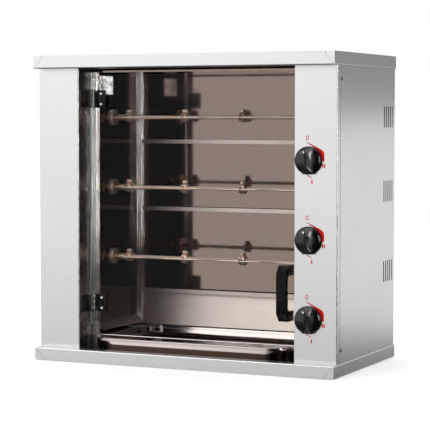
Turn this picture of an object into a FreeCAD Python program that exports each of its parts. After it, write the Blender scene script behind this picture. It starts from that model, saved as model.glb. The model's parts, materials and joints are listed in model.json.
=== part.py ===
import FreeCAD, Part
import os
import re
import Sketcher
from FreeCAD import Rotation, Vector

# Rotisserie oven: a free-standing stainless cabinet with a glass door, three driven spits, a heater
# behind each spit, a drip pan that slides out under the door, and three rotary switches.
#
# Frame: X to the right, Y from front to back, Z up. Origin: middle of the footprint, under the feet.
# All sizes are millimetres. The front of the oven faces -Y.

# ---------------------------------------------------------------- driving dimensions

SIZES = {
    # overall
    "width": 800, "depth": 430, "height": 760,
    "sheet": 1.2,              # steel sheet of the casing and the cavity
    "tray_rim": 32,            # height of the roof tray, and of the base tray with the feet's stand
    "foot_stand": 2,           # the feet show this much below the skirt
    "front_setback": 26,       # front panels behind the edge of the trays
    "side_inset": 1.5,         # side panels inside the edge of the trays
    "rear_inset": 2,           # side panels end before the rear edge of the trays
    "seam": 0.8,               # open seam between folded sheets
    "seam_run": 22,            # a rim's end is cut diagonally over this width
    "seam_knee": 8,            # and ends with a straight piece this tall
    "bend_radius": 2.5,        # outside radius of a folded edge
    "past": 1,                 # a cutter, or an end that is welded on, runs this far past the face
    # front and side panels
    "left_panel": 111.5, "right_panel": 108.5,
    "panel_wrap": 16,          # the front panel folds round the corner this far
    "recess": 54,              # the door sits this far behind the front panels
    "side_flange": 12, "rear_flange": 14,
    "slot_width": 6, "slot_height": 52, "slot_pitch": 15, "slot_count": 5,
    "slot_rear": 22,           # last slot from the rear edge of the trays
    "vent_top": 120, "vent_low": 192, "vent_rise": 8,
    "cover_recess": 22, "cover_flange": 12, "cover_play": 0.3,
    "cover_slot_length": 60, "cover_slot_height": 5, "cover_slot_pitch": 12, "cover_slot_count": 8,
    "cover_slot_in": 130, "cover_slot_down": 60,
    # cooking cavity
    "wall_step": 3,            # cavity walls behind the edges of the front opening
    "rear_space": 77,          # from the cavity's back wall to the rear edge of the trays
    "ceiling_gap": 6,          # cavity ceiling under the roof tray
    "header_drop": 3,
    "post": 18, "post_wall": 1.5, "post_round": 2.5, "post_gap": 6.5,
    "rail_dia": 3, "rail_up": 29.5, "rail_ahead": 3,
    "deflector_reach": 24, "deflector_top": 53, "deflector_low": 36, "deflector_start": 8,
    "rear_deflector_top": 115, "rear_deflector_low": 30.5, "rear_deflector_reach": 17,
    "rear_deflector_root": 7.2,
    # heaters
    "shelf_drop": 68,          # heater shelf under its spit
    "shelf_depth": 17, "shelf_lip": 10, "shelf_play": 0.5,
    "rod_dia": 6.5, "rod_bend": 11, "rod_tail": 22, "rod_in": 22, "rod_rise": 1.2,
    "clip_wide": 8, "clip_in": 120,
    # spits
    "spit_behind": 134,        # spit axis behind the front panels' face
    "spit_top": 121, "spit_low": 223,
    "bar_side": 8, "journal_dia": 8, "journal_length": 19.5,
    "wheel_dia": 39, "wheel_thick": 13, "wheel_off": 21.5, "wheel_edge": 1,
    "neck_length": 10.5, "collar_dia": 15, "collar_length": 15,
    "bush_dia": 16, "bush_flange": 24, "bush_flange_thick": 3.5, "bush_length": 15,
    "running_gap": 0.05,
    "socket_dia": 24, "socket_length": 20, "socket_off": 2, "socket_depth": 15, "bar_entry": 12,
    "socket_play": 0.2, "shaft_dia": 10, "shaft_length": 36, "wall_hole_gap": 0.8,
    "fork_hub_dia": 24, "fork_hub": 16, "fork_half": 30, "fork_plate": 3, "fork_plate_wide": 12,
    "prong_dia": 5, "prong_off": 25, "prong_tip": 12, "prong_point": 1, "prong_gap": 36,
    "fork_end_gap": 6,
    "screw_dia": 6, "wing_dia": 15, "wing_thick": 7, "wing_out": 19, "wing_edge": 1,
    # gearmotors
    "motor_stand": 6, "motor_side": 70, "gearbox_thick": 34, "can_dia": 46, "can_length": 38,
    "stand_dia": 8, "stand_in": 8,
    # drip pan
    "pan_side_gap": 25, "pan_front": 10, "pan_rear_gap": 7, "pan_height": 27.2, "pan_lift": 0.3,
    "pan_sheet": 1.2, "pan_corner": 52, "pan_foot_radius": 12,
    "pan_rim": 7, "pan_rim_thick": 5, "pan_rim_radius": 2.2,
    # glass door
    "glass_thick": 5, "glass_gap": 2, "glass_low": 56, "glass_top": 16,
    "axis_ahead": 8, "axis_in": 14,
    "hinge_tall": 44, "hinge_top": 75, "hinge_low": 111,
    "knuckle_dia": 15, "knuckle_gap": 0.3, "pin_dia": 5, "pin_over": 1.5,
    "leaf_thick": 2.5, "body_leaf_front": 8, "body_leaf_wide": 30,
    "door_leaf_thick": 3, "door_leaf_start": 9, "door_leaf_wide": 25,
    "leaf_screw_dia": 5, "leaf_head_dia": 8, "leaf_head_top": 5, "leaf_head": 2.2, "leaf_screw_pitch": 26,
    "door_screw_in": 22, "body_screw_front": 18, "cap_nut": 3.5, "cap_nut_dia": 9,
    "screw_gap": 0.2,
    # door handle
    "handle_from_edge": 33, "handle_wide": 25, "handle_up": 158.5, "handle_tall": 133,
    "handle_out": 50, "handle_grip": 14, "handle_foot": 24, "handle_flat": 94, "handle_shoulder": 16,
    "handle_inner": 6,
    "handle_screw_up": 54, "handle_screw_dia": 5, "handle_screw_in": 14, "washer_dia": 14, "washer": 3,
    # door catch
    "catch_wide": 12, "catch_tall": 40, "catch_up": 348, "catch_plate": 1, "catch_air": 0.4,
    "catch_in": 2, "magnet_in": 1,
    # switches, knobs and their printed dials
    "knob_in": 72,             # knob axis from the outer face of the right side panel
    "knob_top": 221, "knob_low": 102,
    "knob_dia": 66, "knob_skirt": 7, "knob_edge": 2, "knob_face_dia": 50, "knob_face": 14, "knob_out": 24,
    "grip_thick": 13, "grip_half": 28, "grip_root": 2, "grip_end_out": 5, "grip_end_in": 7, "knob_air": 0.5,
    "spindle_dia": 6, "spindle_in_knob": 12, "spindle_in_switch": 18, "spindle_hole": 9,
    "switch_side": 44, "switch_deep": 38, "blade_wide": 6, "blade_long": 8, "blade_thick": 0.8,
    "blade_pitch": 10,
    "mark_thick": 0.15, "mark_line": 1.5, "mark_bar": 3,
    # lamp
    "lamp_front": 98, "lamp_wide": 90, "lamp_tall": 60, "lamp_down": 69, "lamp_rim": 7,
    "lamp_proud": 3, "lamp_deep": 55, "lamp_sheet": 1, "lamp_glass": 4,
    "bulb_dia": 22, "bulb_length": 34, "bulb_base_dia": 14, "bulb_base": 16,
    # feet, gland, terminals and screws
    "foot_dia": 34, "foot_tread": 5, "foot_stem_dia": 26, "foot_side": 60, "foot_front": 55,
    "gland_in": 60, "gland_up": 48, "gland_dia": 20, "gland_bore": 10, "gland_nut_dia": 28,
    "gland_nut": 5, "gland_hex": 6, "gland_cap_dia": 24, "gland_cap_end": 18, "gland_cap": 12,
    "terminal_wide": 60, "terminal_deep": 24, "terminal_tall": 28, "terminal_bore": 7,
    "case_screw_dia": 9, "case_screw_top": 5, "case_screw_head": 1.5, "case_screw_shank": 4, "case_screw_long": 8,
    "case_screw_back": 52, "case_screw_end": 31,
}

# Places worked out from the driving dimensions.
PLACES = {
    "front": "-depth / 2",
    "rear": "depth / 2",
    "side": "width / 2",
    "case_side": "side - side_inset",
    "panel_face": "front + front_setback",
    "panel_rear": "rear - rear_inset",
    "floor": "tray_rim",
    "ceiling": "height - tray_rim",
    "window_left": "-case_side + left_panel",
    "window_right": "case_side - right_panel",
    "glass_face": "panel_face + recess",
    "glass_back": "glass_face + glass_thick",
    "post_face": "glass_back + post_gap",
    "cavity_left": "window_left - wall_step",
    "cavity_right": "window_right + wall_step",
    "cavity_back": "rear - rear_space",
    "cavity_top": "ceiling - ceiling_gap",
    "cover_face": "rear - cover_recess",
    "spit_y": "panel_face + spit_behind",
    "wheel_start": "cavity_left + wheel_off",
    "neck_start": "wheel_start + wheel_thick",
    "collar_start": "neck_start + neck_length",
    "bar_start": "collar_start + collar_length",
    "socket_end": "cavity_right - socket_off",
    "socket_start": "socket_end - socket_length",
    "bar_end": "socket_start + bar_entry",
    "bird_zone": "(socket_start - bar_start - 2 * fork_end_gap - fork_hub) / 3",
    "prong_length": "(bird_zone - fork_hub - prong_gap) / 2",
    "motor_face": "cavity_right + sheet + motor_stand",
    "can_face": "motor_face + gearbox_thick",
    "pan_left": "cavity_left + pan_side_gap",
    "pan_right": "cavity_right - pan_side_gap",
    "pan_near": "panel_face + pan_front",
    "pan_far": "cavity_back - pan_rear_gap",
    "pan_base": "floor + pan_lift",
    "pan_top": "pan_base + pan_height",
    "axis_x": "window_left + axis_in",
    "axis_y": "glass_face - axis_ahead",
    "glass_left": "window_left + glass_gap",
    "glass_right": "window_right - glass_gap",
    "handle_x": "glass_right - handle_from_edge",
    "handle_z": "floor + handle_up",
    "knob_x": "case_side - knob_in",
    "knob_back": "panel_face - knob_air",
    "switch_face": "panel_face + sheet",
    "lamp_y": "panel_face + lamp_front",
    "lamp_z": "ceiling - lamp_down",
    "gland_x": "case_side - gland_in",
    "gland_z": "floor + gland_up",
}

# Heights of what comes three times, top row first.
ROWS = (1, 2, 3)
SPIT_Z = ("ceiling - spit_top", "(ceiling - spit_top + floor + spit_low) / 2", "floor + spit_low")
KNOB_Z = ("ceiling - knob_top", "(ceiling - knob_top + floor + knob_low) / 2", "floor + knob_low")
VENT_Z = ("ceiling - vent_top", "(ceiling - vent_top + floor + vent_low) / 2 + vent_rise",
          "floor + vent_low")
SHELF_Z = (SPIT_Z[0] + " - shelf_drop", SPIT_Z[1] + " - shelf_drop", "floor + rear_deflector_top")
HINGE_Z = ("ceiling - hinge_top", "floor + hinge_low")

doc = FreeCAD.newDocument("rotisserie_oven")
sheet = doc.addObject("Spreadsheet::Sheet", "Sizes")
for row, (alias, number) in enumerate(SIZES.items(), 1):
    sheet.set(f"A{row}", alias)
    sheet.set(f"B{row}", str(number))
    sheet.setAlias(f"B{row}", alias)
doc.recompute()


# ---------------------------------------------------------------- building blocks

def bound(expression):
    """The expression with every place written out and every size read from the sheet."""
    def spell(match):
        word = match.group(0)
        if word in PLACES:
            return "(" + bound(PLACES[word]) + ")"
        return "Sizes." + word
    return re.sub(r"[a-z][a-z_]*", spell, expression)


def number(expression):
    """The expression's value now."""
    return float(sheet.evalExpression(bound(expression)))


def mirrored(outline):
    """The outline reflected in the plane X = 0."""
    return [(f"-({across})", up) for across, up in reversed(outline)]


def about(middle, span):
    """The two places half a span each side of the middle."""
    return f"{middle} - ({span}) / 2", f"{middle} + ({span}) / 2"


def beyond(low, high):
    """A cutter's span that runs past both ends."""
    return f"{low} - past", f"{high} + past"


def box(name, across, along, up):
    """A block between two places on each axis."""
    block = doc.addObject("Part::Box", name)
    for size, axis, (low, high) in zip(("Length", "Width", "Height"), "xyz", (across, along, up)):
        block.setExpression(size, bound(f"({high}) - ({low})"))
        block.setExpression("Placement.Base." + axis, bound(low))
    return block


ALONG = {"x": Rotation(Vector(0, 1, 0), 90), "y": Rotation(Vector(1, 0, 0), -90), "z": Rotation()}


def place_round(solid, axis, low, centre):
    """Stand a round solid on its axis, with its low end and its centre at the given places."""
    solid.Placement.Rotation = ALONG[axis]
    across = [letter for letter in "xyz" if letter != axis]
    solid.setExpression("Placement.Base." + axis, bound(low))
    for letter, place in zip(across, centre):
        solid.setExpression("Placement.Base." + letter, bound(place))


def cylinder(name, axis, span, centre, diameter):
    """A rod along an axis, from the first place of the span to the second."""
    rod = doc.addObject("Part::Cylinder", name)
    rod.setExpression("Radius", bound(f"({diameter}) / 2"))
    rod.setExpression("Height", bound(f"({span[1]}) - ({span[0]})"))
    place_round(rod, axis, span[0], centre)
    return rod


def cone(name, axis, span, centre, low_diameter, high_diameter):
    """A cone frustum along an axis."""
    tip = doc.addObject("Part::Cone", name)
    tip.setExpression("Radius1", bound(f"({low_diameter}) / 2"))
    tip.setExpression("Radius2", bound(f"({high_diameter}) / 2"))
    tip.setExpression("Height", bound(f"({span[1]}) - ({span[0]})"))
    place_round(tip, axis, span[0], centre)
    return tip


def group(name, solids):
    """Several separate solids as one object."""
    together = doc.addObject("Part::Compound", name)
    together.Links = solids
    return together


def fuse(name, *parts):
    """One solid out of several that touch."""
    whole = doc.addObject("Part::MultiFuse", name)
    whole.Shapes = list(parts)
    return whole


def cut(name, base, *tools):
    """The base without the tools."""
    rest = doc.addObject("Part::Cut", name)
    rest.Base = base
    rest.Tool = tools[0] if len(tools) == 1 else group(name + "_tools", list(tools))
    return rest


def sketch(body, plane, outline):
    """A closed outline on one of the body's origin planes, each corner held by two distances."""
    drawing = body.newObject("Sketcher::SketchObject", "outline")
    flat = [feature for feature in body.Origin.OriginFeatures if feature.Role == plane + "_Plane"]
    drawing.AttachmentSupport = (flat[0], "")
    drawing.MapMode = "FlatFace"
    corners = [(number(across), number(up)) for across, up in outline]
    ends = corners[1:] + corners[:1]
    for start, end in zip(corners, ends):
        drawing.addGeometry(Part.LineSegment(Vector(*start, 0), Vector(*end, 0)), False)
    for index, (across, up) in enumerate(outline):
        drawing.addConstraint(Sketcher.Constraint("Coincident", index, 2, (index + 1) % len(outline), 1))
        for kind, place, now in zip(("DistanceX", "DistanceY"), (across, up), corners[index]):
            held = drawing.addConstraint(Sketcher.Constraint(kind, -1, 1, index, 1, now))
            drawing.setExpression(f"Constraints[{held}]", bound(place))
    return drawing


# The axis that a sketch plane's pad runs along, and whether the pad runs towards its low end.
PAD_AXIS = {"XY": ("z", False), "XZ": ("y", True), "YZ": ("x", False)}


def prism(name, plane, outline, span):
    """An outline padded between two places on the axis across its plane."""
    body = doc.addObject("PartDesign::Body", name)
    pad = body.newObject("PartDesign::Pad", "pad")
    pad.Profile = sketch(body, plane, outline)
    pad.setExpression("Length", bound(f"({span[1]}) - ({span[0]})"))
    axis, backwards = PAD_AXIS[plane]
    body.setExpression("Placement.Base." + axis, bound(span[1] if backwards else span[0]))
    body.Tip = pad
    return body


def turned(name, axis, outline, centre):
    """An outline of (place on the axis, radius) turned about an axis through the centre."""
    body = doc.addObject("PartDesign::Body", name)
    turn = body.newObject("PartDesign::Revolution", "turn")
    if axis == "x":
        profile = sketch(body, "XY", outline)
    else:
        plane = "XY" if axis == "y" else "XZ"
        profile = sketch(body, plane, [(radius, place) for place, radius in outline])
    turn.Profile = profile
    turn.ReferenceAxis = (profile, ["H_Axis" if axis == "x" else "V_Axis"])
    turn.Angle = 360
    across = [letter for letter in "xyz" if letter != axis]
    for letter, place in zip(across, centre):
        body.setExpression("Placement.Base." + letter, bound(place))
    body.Tip = turn
    return body


def round_edges(body, radius, chosen):
    """Fillet the edges of the body's last feature that the chosen test picks."""
    doc.recompute()
    last = body.Tip
    names = [f"Edge{index}" for index, edge in enumerate(last.Shape.Edges, 1) if chosen(edge)]
    fillet = body.newObject("PartDesign::Fillet", "rounding")
    fillet.Base = (last, names)
    fillet.setExpression("Radius", bound(radius))
    body.Tip = fillet


TINY = 1e-6


def is_vertical(edge):
    """True for an edge that runs straight up."""
    low, high = edge.BoundBox.ZMin, edge.BoundBox.ZMax
    return edge.BoundBox.DiagonalLength - (high - low) < TINY


def round_folds(panel, radius, corners):
    """Round the upright edges that stand at the given places in plan."""
    places = [(number(across), number(along)) for across, along in corners]
    round_edges(panel, radius, lambda edge: is_vertical(edge) and any(
        abs(edge.BoundBox.XMin - across) + abs(edge.BoundBox.YMin - along) < TINY for across, along in places))


nodes = {}


def node(name, solid):
    """Register a finished piece under its own name."""
    solid.Label = name
    nodes[name] = solid
    return solid


# ---------------------------------------------------------------- roof and base trays


def rounded_fold(name, inset, up, radius, upwards):
    """A block over the oven's plan, inset all round, with round edges along its fold."""
    left, right = f"-side + {inset}", f"side - {inset}"
    near, far = f"front + {inset}", f"rear - {inset}"
    block = prism(name, "XY", [(left, near), (right, near), (right, far), (left, far)], up)
    fold = 0 if upwards else number(up[1]) - number(up[0])
    round_edges(block, radius, lambda edge: abs(edge.BoundBox.ZMin - fold) < TINY
                and abs(edge.BoundBox.ZMax - fold) < TINY)
    return block


def folded_tray(name, fold, free, rim, knee):
    """A plate with four folded rims between its fold and its free edge. The front and rear rims
    end in a diagonal seam, from the corner of the fold to the knee and on to the free edge."""
    upwards = number(free) > number(fold)
    span = (fold, free) if upwards else (free, fold)
    whole = rounded_fold(name + "_whole", "0", span, "bend_radius", upwards)
    hollow = rounded_fold(name + "_hollow", "sheet", rim, "bend_radius - sheet", upwards)
    outline = [("side", fold), ("side - seam_run", knee), ("side - seam_run", free),
               ("side - seam_run - seam", free), ("side - seam_run - seam", knee), ("side - seam", fold)]
    seams = []
    for face in (("front", "front + sheet"), ("rear - sheet", "rear")):
        seams.append(prism(name + "_seam", "XZ", outline, face))
        seams.append(prism(name + "_seam", "XZ", mirrored(outline), face))
    shell = cut(name + "_shell", whole, hollow, *seams)
    tabs = []
    for along in (("front + sheet", "front + 2 * sheet"), ("rear - 2 * sheet", "rear - sheet")):
        for across in (("-side + sheet", "-side + 2 * seam_run"), ("side - 2 * seam_run", "side - sheet")):
            tabs.append(box(name + "_tab", across, along, rim))
    return fuse(name + "_folded", shell, *tabs)


node("roof_tray", folded_tray("roof", "ceiling", "height", ("ceiling + sheet", "height"),
                              "height - seam_knee"))
node("base_tray", folded_tray("base", "floor", "foot_stand", ("foot_stand", "floor - sheet"),
                              "foot_stand + seam_knee"))

# ---------------------------------------------------------------- outer panels

UPRIGHT = ("floor", "ceiling")


def front_panel_outline(outer, inner, away):
    """Plan of a front panel: face, fold round the corner, and the return to the door recess."""
    behind = "post_face - knuckle_gap"
    back = "-" if away == "+" else "+"
    return [(outer, "panel_face + panel_wrap"), (outer, "panel_face"), (inner, "panel_face"),
            (inner, behind), (f"{inner} {away} sheet", behind),
            (f"{inner} {away} sheet", "panel_face + sheet"),
            (f"{outer} {back} sheet", "panel_face + sheet"),
            (f"{outer} {back} sheet", "panel_face + panel_wrap")]


def folded_front_panel(name, outer, inner, away):
    """A front panel with round folds at the corner of the case and at the door recess."""
    panel = prism(name, "XY", front_panel_outline(outer, inner, away), UPRIGHT)
    back = "-" if away == "+" else "+"
    round_folds(panel, "bend_radius", [(outer, "panel_face"), (inner, "panel_face")])
    round_folds(panel, "bend_radius - sheet", [(f"{outer} {back} sheet", "panel_face + sheet"),
                                               (f"{inner} {away} sheet", "panel_face + sheet")])
    return panel


node("left_front_panel", folded_front_panel("left_front", "-case_side", "window_left", "-"))
right_front = folded_front_panel("right_front", "case_side", "window_right", "+")
spindle_holes = [cylinder("spindle_hole", "y", beyond("panel_face", "switch_face"),
                          ("knob_x", height), "spindle_hole") for height in KNOB_Z]
node("right_front_panel", cut("right_front_drilled", right_front, *spindle_holes))


def side_panel(name, outer, away):
    """A side panel with a folded edge at the front and at the rear."""
    start, end = "panel_face + panel_wrap + seam", "panel_rear"
    skin = f"{outer} {away} sheet"
    outline = [(f"{outer} {away} side_flange", start), (outer, start), (outer, end),
               (f"{outer} {away} rear_flange", end), (f"{outer} {away} rear_flange", f"{end} - sheet"),
               (skin, f"{end} - sheet"), (skin, f"{start} + sheet"),
               (f"{outer} {away} side_flange", f"{start} + sheet")]
    panel = prism(name, "XY", outline, UPRIGHT)
    round_folds(panel, "bend_radius", [(outer, start), (outer, end)])
    round_folds(panel, "bend_radius - sheet", [(skin, f"{start} + sheet"), (skin, f"{end} - sheet")])
    return panel


def side_screw_holes(low, high):
    return [cylinder("screw_hole", "x", (low, high), ("front + case_screw_back", height),
                     "case_screw_shank + screw_gap")
            for height in ("floor + case_screw_end", "ceiling - case_screw_end")]


left_skin = beyond("-case_side", "-case_side + sheet")
right_skin = beyond("case_side - sheet", "case_side")
node("left_side_panel", cut("left_side_drilled", side_panel("left_side", "-case_side", "+"),
                            *side_screw_holes(*left_skin)))
slots = []
for middle in VENT_Z:
    for index in range(SIZES["slot_count"]):
        centre = f"rear - slot_rear - {index} * slot_pitch"
        slots.append(box("vent_slot", right_skin, about(centre, "slot_width"),
                         about(middle, "slot_height")))
node("right_side_panel", cut("right_side_vented", side_panel("right_side", "case_side", "-"),
                             *slots, *side_screw_holes(*right_skin)))

cover_side = "case_side - sheet - cover_play"
cover_outline = [(f"-({cover_side})", "cover_face + cover_flange"), (f"-({cover_side})", "cover_face - sheet"),
                 (cover_side, "cover_face - sheet"), (cover_side, "cover_face + cover_flange"),
                 (f"{cover_side} - sheet", "cover_face + cover_flange"), (f"{cover_side} - sheet", "cover_face"),
                 (f"-({cover_side}) + sheet", "cover_face"),
                 (f"-({cover_side}) + sheet", "cover_face + cover_flange")]
cover = prism("rear_cover_sheet", "XY", cover_outline, ("floor + cover_play", "ceiling - cover_play"))
through_cover = beyond("cover_face - sheet", "cover_face")
cover_slots = [cylinder("gland_hole", "y", through_cover, ("gland_x", "gland_z"), "gland_dia + screw_gap")]
for edge in ("-case_side + cover_slot_in", "case_side - cover_slot_in"):
    for index in range(SIZES["cover_slot_count"]):
        middle = f"ceiling - cover_slot_down - {index} * cover_slot_pitch"
        cover_slots.append(box("cover_slot", about(edge, "cover_slot_length"),
                               through_cover,
                               about(middle, "cover_slot_height")))
node("rear_cover", cut("rear_cover_vented", cover, *cover_slots))

# ---------------------------------------------------------------- cooking cavity

INNER = ("floor", "cavity_top")
left_wall = box("left_wall", ("cavity_left - sheet", "cavity_left"), ("post_face", "cavity_back"), INNER)
left_through = beyond("cavity_left - sheet", "cavity_left")
left_holes = [cylinder("bush_hole", "x", left_through, ("spit_y", height), "bush_dia + screw_gap")
              for height in SPIT_Z]
left_holes.append(box("lamp_hole", left_through, ("lamp_y + lamp_rim", "lamp_y + lamp_wide - lamp_rim"),
                      ("lamp_z + lamp_rim", "lamp_z + lamp_tall - lamp_rim")))
node("cavity_left_wall", cut("left_wall_cut", left_wall, *left_holes))

right_wall = box("right_wall", ("cavity_right", "cavity_right + sheet"), ("post_face", "cavity_back"), INNER)
right_holes = [cylinder("shaft_hole", "x", beyond("cavity_right", "cavity_right + sheet"),
                        ("spit_y", height), "shaft_dia + 2 * wall_hole_gap") for height in SPIT_Z]
node("cavity_right_wall", cut("right_wall_cut", right_wall, *right_holes))

back_wall = box("back_wall", ("cavity_left - sheet", "cavity_right + sheet"),
                ("cavity_back", "cavity_back + sheet"), INNER)
rod_ends = ("cavity_left + post + rod_in", "cavity_right - post - rod_in")
rod_holes = [cylinder("rod_hole", "y", beyond("cavity_back", "cavity_back + sheet"),
                      (end, f"{height} + rod_rise + sheet + rod_dia / 2"), "rod_dia + screw_gap")
             for height in SHELF_Z for end in rod_ends]
node("cavity_back_wall", cut("back_wall_cut", back_wall, *rod_holes))

ceiling_plate = box("ceiling_plate", ("cavity_left - sheet", "cavity_right + sheet"),
                    ("post_face - sheet", "cavity_back + sheet"), ("cavity_top", "cavity_top + sheet"))
header = box("header", ("window_left", "window_right"), ("post_face - sheet", "post_face"),
             ("cavity_top - header_drop", "cavity_top"))
ceiling_ends = [box("ceiling_trim", ends, ("post_face - sheet", "post_face"),
                    ("cavity_top", "cavity_top + sheet"))
                for ends in (("cavity_left - sheet", "window_left"), ("window_right", "cavity_right + sheet"))]
node("cavity_ceiling", cut("ceiling_notched", fuse("ceiling_folded", ceiling_plate, header), *ceiling_ends))


def square_post(name, across, along):
    """A square tube between floor and cavity ceiling; across and along give its low corner."""
    walls = []
    for inset in ("0", "post_wall"):
        left, right = f"{across} + {inset}", f"{across} + post - {inset}"
        near, far = f"{along} + {inset}", f"{along} + post - {inset}"
        walls.append(prism(name, "XY", [(left, near), (right, near), (right, far), (left, far)], INNER))
        round_edges(walls[-1], f"post_round - {inset}", is_vertical)
    return cut(name + "_tube", *walls)


POST_X = ("cavity_left", "cavity_right - post")
node("front_posts", group("front_post_pair", [square_post("front_post", x, "post_face") for x in POST_X]))
node("rear_posts", group("rear_post_pair", [square_post("rear_post", x, "cavity_back - post") for x in POST_X]))

node("front_rail", cylinder("rail", "x", ("window_left", "window_right"),
                            ("post_face - rail_ahead", "floor + rail_up"), "rail_dia"))


def side_deflector(name, wall, away):
    """A folded drip strip on a side wall: it slopes in from the wall and returns to it lower down."""
    nose = f"{wall} {away} (deflector_reach"
    outline = [(wall, "floor + deflector_top"), (nose + ")", "floor + deflector_low"),
               (wall, "floor + deflector_low"), (wall, "floor + deflector_low + sheet"),
               (nose + " - 3 * sheet)", "floor + deflector_low + sheet"),
               (wall, "floor + deflector_top - sheet")]
    return prism(name, "XZ", outline, ("post_face + post + deflector_start", "cavity_back - post"))


node("side_deflectors", group("deflector_pair", [side_deflector("left_deflector", "cavity_left", "+"),
                                                 side_deflector("right_deflector", "cavity_right", "-")]))

between_posts = ("cavity_left + post + shelf_play", "cavity_right - post - shelf_play")
rear_deflector_outline = [("cavity_back", "floor + rear_deflector_top"),
                          ("cavity_back - rear_deflector_reach", "floor + rear_deflector_low"),
                          ("cavity_back - rear_deflector_reach + sheet", "floor + rear_deflector_low"),
                          ("cavity_back", "floor + rear_deflector_top - rear_deflector_root")]
node("rear_deflector", prism("rear_deflector_sheet", "YZ", rear_deflector_outline, between_posts))

# ---------------------------------------------------------------- heaters

shelves, rods, clips = [], [], []
for height in SHELF_Z:
    edge = "cavity_back - shelf_depth"
    profile = [("cavity_back", height), (edge, height), (edge, f"{height} + shelf_lip"),
               (f"{edge} + sheet", f"{height} + shelf_lip"), (f"{edge} + sheet", f"{height} + sheet"),
               ("cavity_back", f"{height} + sheet")]
    shelves.append(prism("shelf", "YZ", profile, between_posts))
node("heater_shelves", group("shelf_set", shelves))


def heater_rod(height):
    """A tubular heater: a straight run along the shelf whose ends bend back through the wall."""
    radius = number("rod_dia") / 2
    bend = number("rod_bend")
    left, right = number(rod_ends[0]), number(rod_ends[1])
    run = number("cavity_back - rod_bend")
    tail = number("cavity_back + sheet + rod_tail")
    z = number(f"{height} + rod_rise + sheet + rod_dia / 2")
    slack = bend * (1 - 0.5 ** 0.5)
    points = [Vector(left, tail, z), Vector(left, run + bend, z),
              Vector(left + slack, run + slack, z), Vector(left + bend, run, z),
              Vector(right - bend, run, z), Vector(right - slack, run + slack, z),
              Vector(right, run + bend, z), Vector(right, tail, z)]
    path = Part.Wire([Part.LineSegment(points[0], points[1]).toShape(),
                      Part.Arc(points[1], points[2], points[3]).toShape(),
                      Part.LineSegment(points[3], points[4]).toShape(),
                      Part.Arc(points[4], points[5], points[6]).toShape(),
                      Part.LineSegment(points[6], points[7]).toShape()])
    section = Part.Wire(Part.Circle(points[0], Vector(0, 1, 0), radius).toShape())
    return path.makePipeShell([section], True, False)


rod_set = doc.addObject("Part::Feature", "rod_set")
rod_set.Shape = Part.makeCompound([heater_rod(height) for height in SHELF_Z])
node("heating_elements", rod_set)

for height in SHELF_Z:
    rod_low = f"{height} + rod_rise + sheet"
    for middle in ("cavity_left + clip_in", "(cavity_left + cavity_right) / 2", "cavity_right - clip_in"):
        block = box("clip", about(middle, "clip_wide"),
                    ("cavity_back - rod_bend - rod_dia / 2", "cavity_back"),
                    (f"{height} + sheet", f"{rod_low} + rod_dia / 2"))
        seat = cylinder("clip_seat", "x", (f"{middle} - clip_wide", f"{middle} + clip_wide"),
                        ("cavity_back - rod_bend", f"{rod_low} + rod_dia / 2"), "rod_dia + screw_gap")
        clips.append(cut("heater_clip", block, seat))
node("heater_clips", group("clip_set", clips))

# ---------------------------------------------------------------- drip pan


def rounded_block(name, inset, up, corner):
    """A block over the pan's plan, inset all round, with round vertical corners."""
    left, right = f"pan_left + {inset}", f"pan_right - ({inset})"
    near, far = f"pan_near + {inset}", f"pan_far - ({inset})"
    block = prism(name, "XY", [(left, near), (right, near), (right, far), (left, far)], up)
    round_edges(block, corner, is_vertical)
    return block


pan_bowl = rounded_block("pan_bowl", "pan_rim", ("pan_base", "pan_top"), "pan_corner")
round_edges(pan_bowl, "pan_foot_radius", lambda edge: abs(edge.BoundBox.ZMax) < TINY)
pan_rim = rounded_block("pan_rim_block", "0", ("pan_top - pan_rim_thick", "pan_top"), "pan_corner + pan_rim")
round_edges(pan_rim, "pan_rim_radius", lambda edge: abs(edge.BoundBox.ZMin - number("pan_rim_thick")) < TINY)
pan_hollow = rounded_block("pan_hollow", "pan_rim + pan_sheet", ("pan_base + pan_sheet", "pan_top + past"),
                           "pan_corner - pan_sheet")
round_edges(pan_hollow, "pan_foot_radius - pan_sheet", lambda edge: abs(edge.BoundBox.ZMax) < TINY)
node("drip_pan", cut("pan_hollowed", fuse("pan_blank", pan_bowl, pan_rim), pan_hollow))

# ---------------------------------------------------------------- spits, forks and drives


def square_bar(name, span, height, side):
    """A square section along X about a spit's axis."""
    return box(name, span, (f"spit_y - ({side}) / 2", f"spit_y + ({side}) / 2"),
               (f"{height} - ({side}) / 2", f"{height} + ({side}) / 2"))


def spit_bar(height):
    """The square bar with its turned end: collar, neck, hand wheel and journal."""
    turned_end = turned("spit_end", "x", [
        ("wheel_start - journal_length", "0"), ("wheel_start - journal_length", "journal_dia / 2"),
        ("wheel_start", "journal_dia / 2"), ("wheel_start", "wheel_dia / 2 - wheel_edge"),
        ("wheel_start + wheel_edge", "wheel_dia / 2"), ("neck_start - wheel_edge", "wheel_dia / 2"),
        ("neck_start", "wheel_dia / 2 - wheel_edge"), ("neck_start", "journal_dia / 2"),
        ("collar_start", "journal_dia / 2"), ("collar_start", "collar_dia / 2"),
        ("bar_start", "collar_dia / 2"), ("bar_start", "0")], ("spit_y", height))
    return fuse("spit_bar_welded", turned_end,
                square_bar("bar", ("bar_start - past", "bar_end"), height, "bar_side"))


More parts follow.
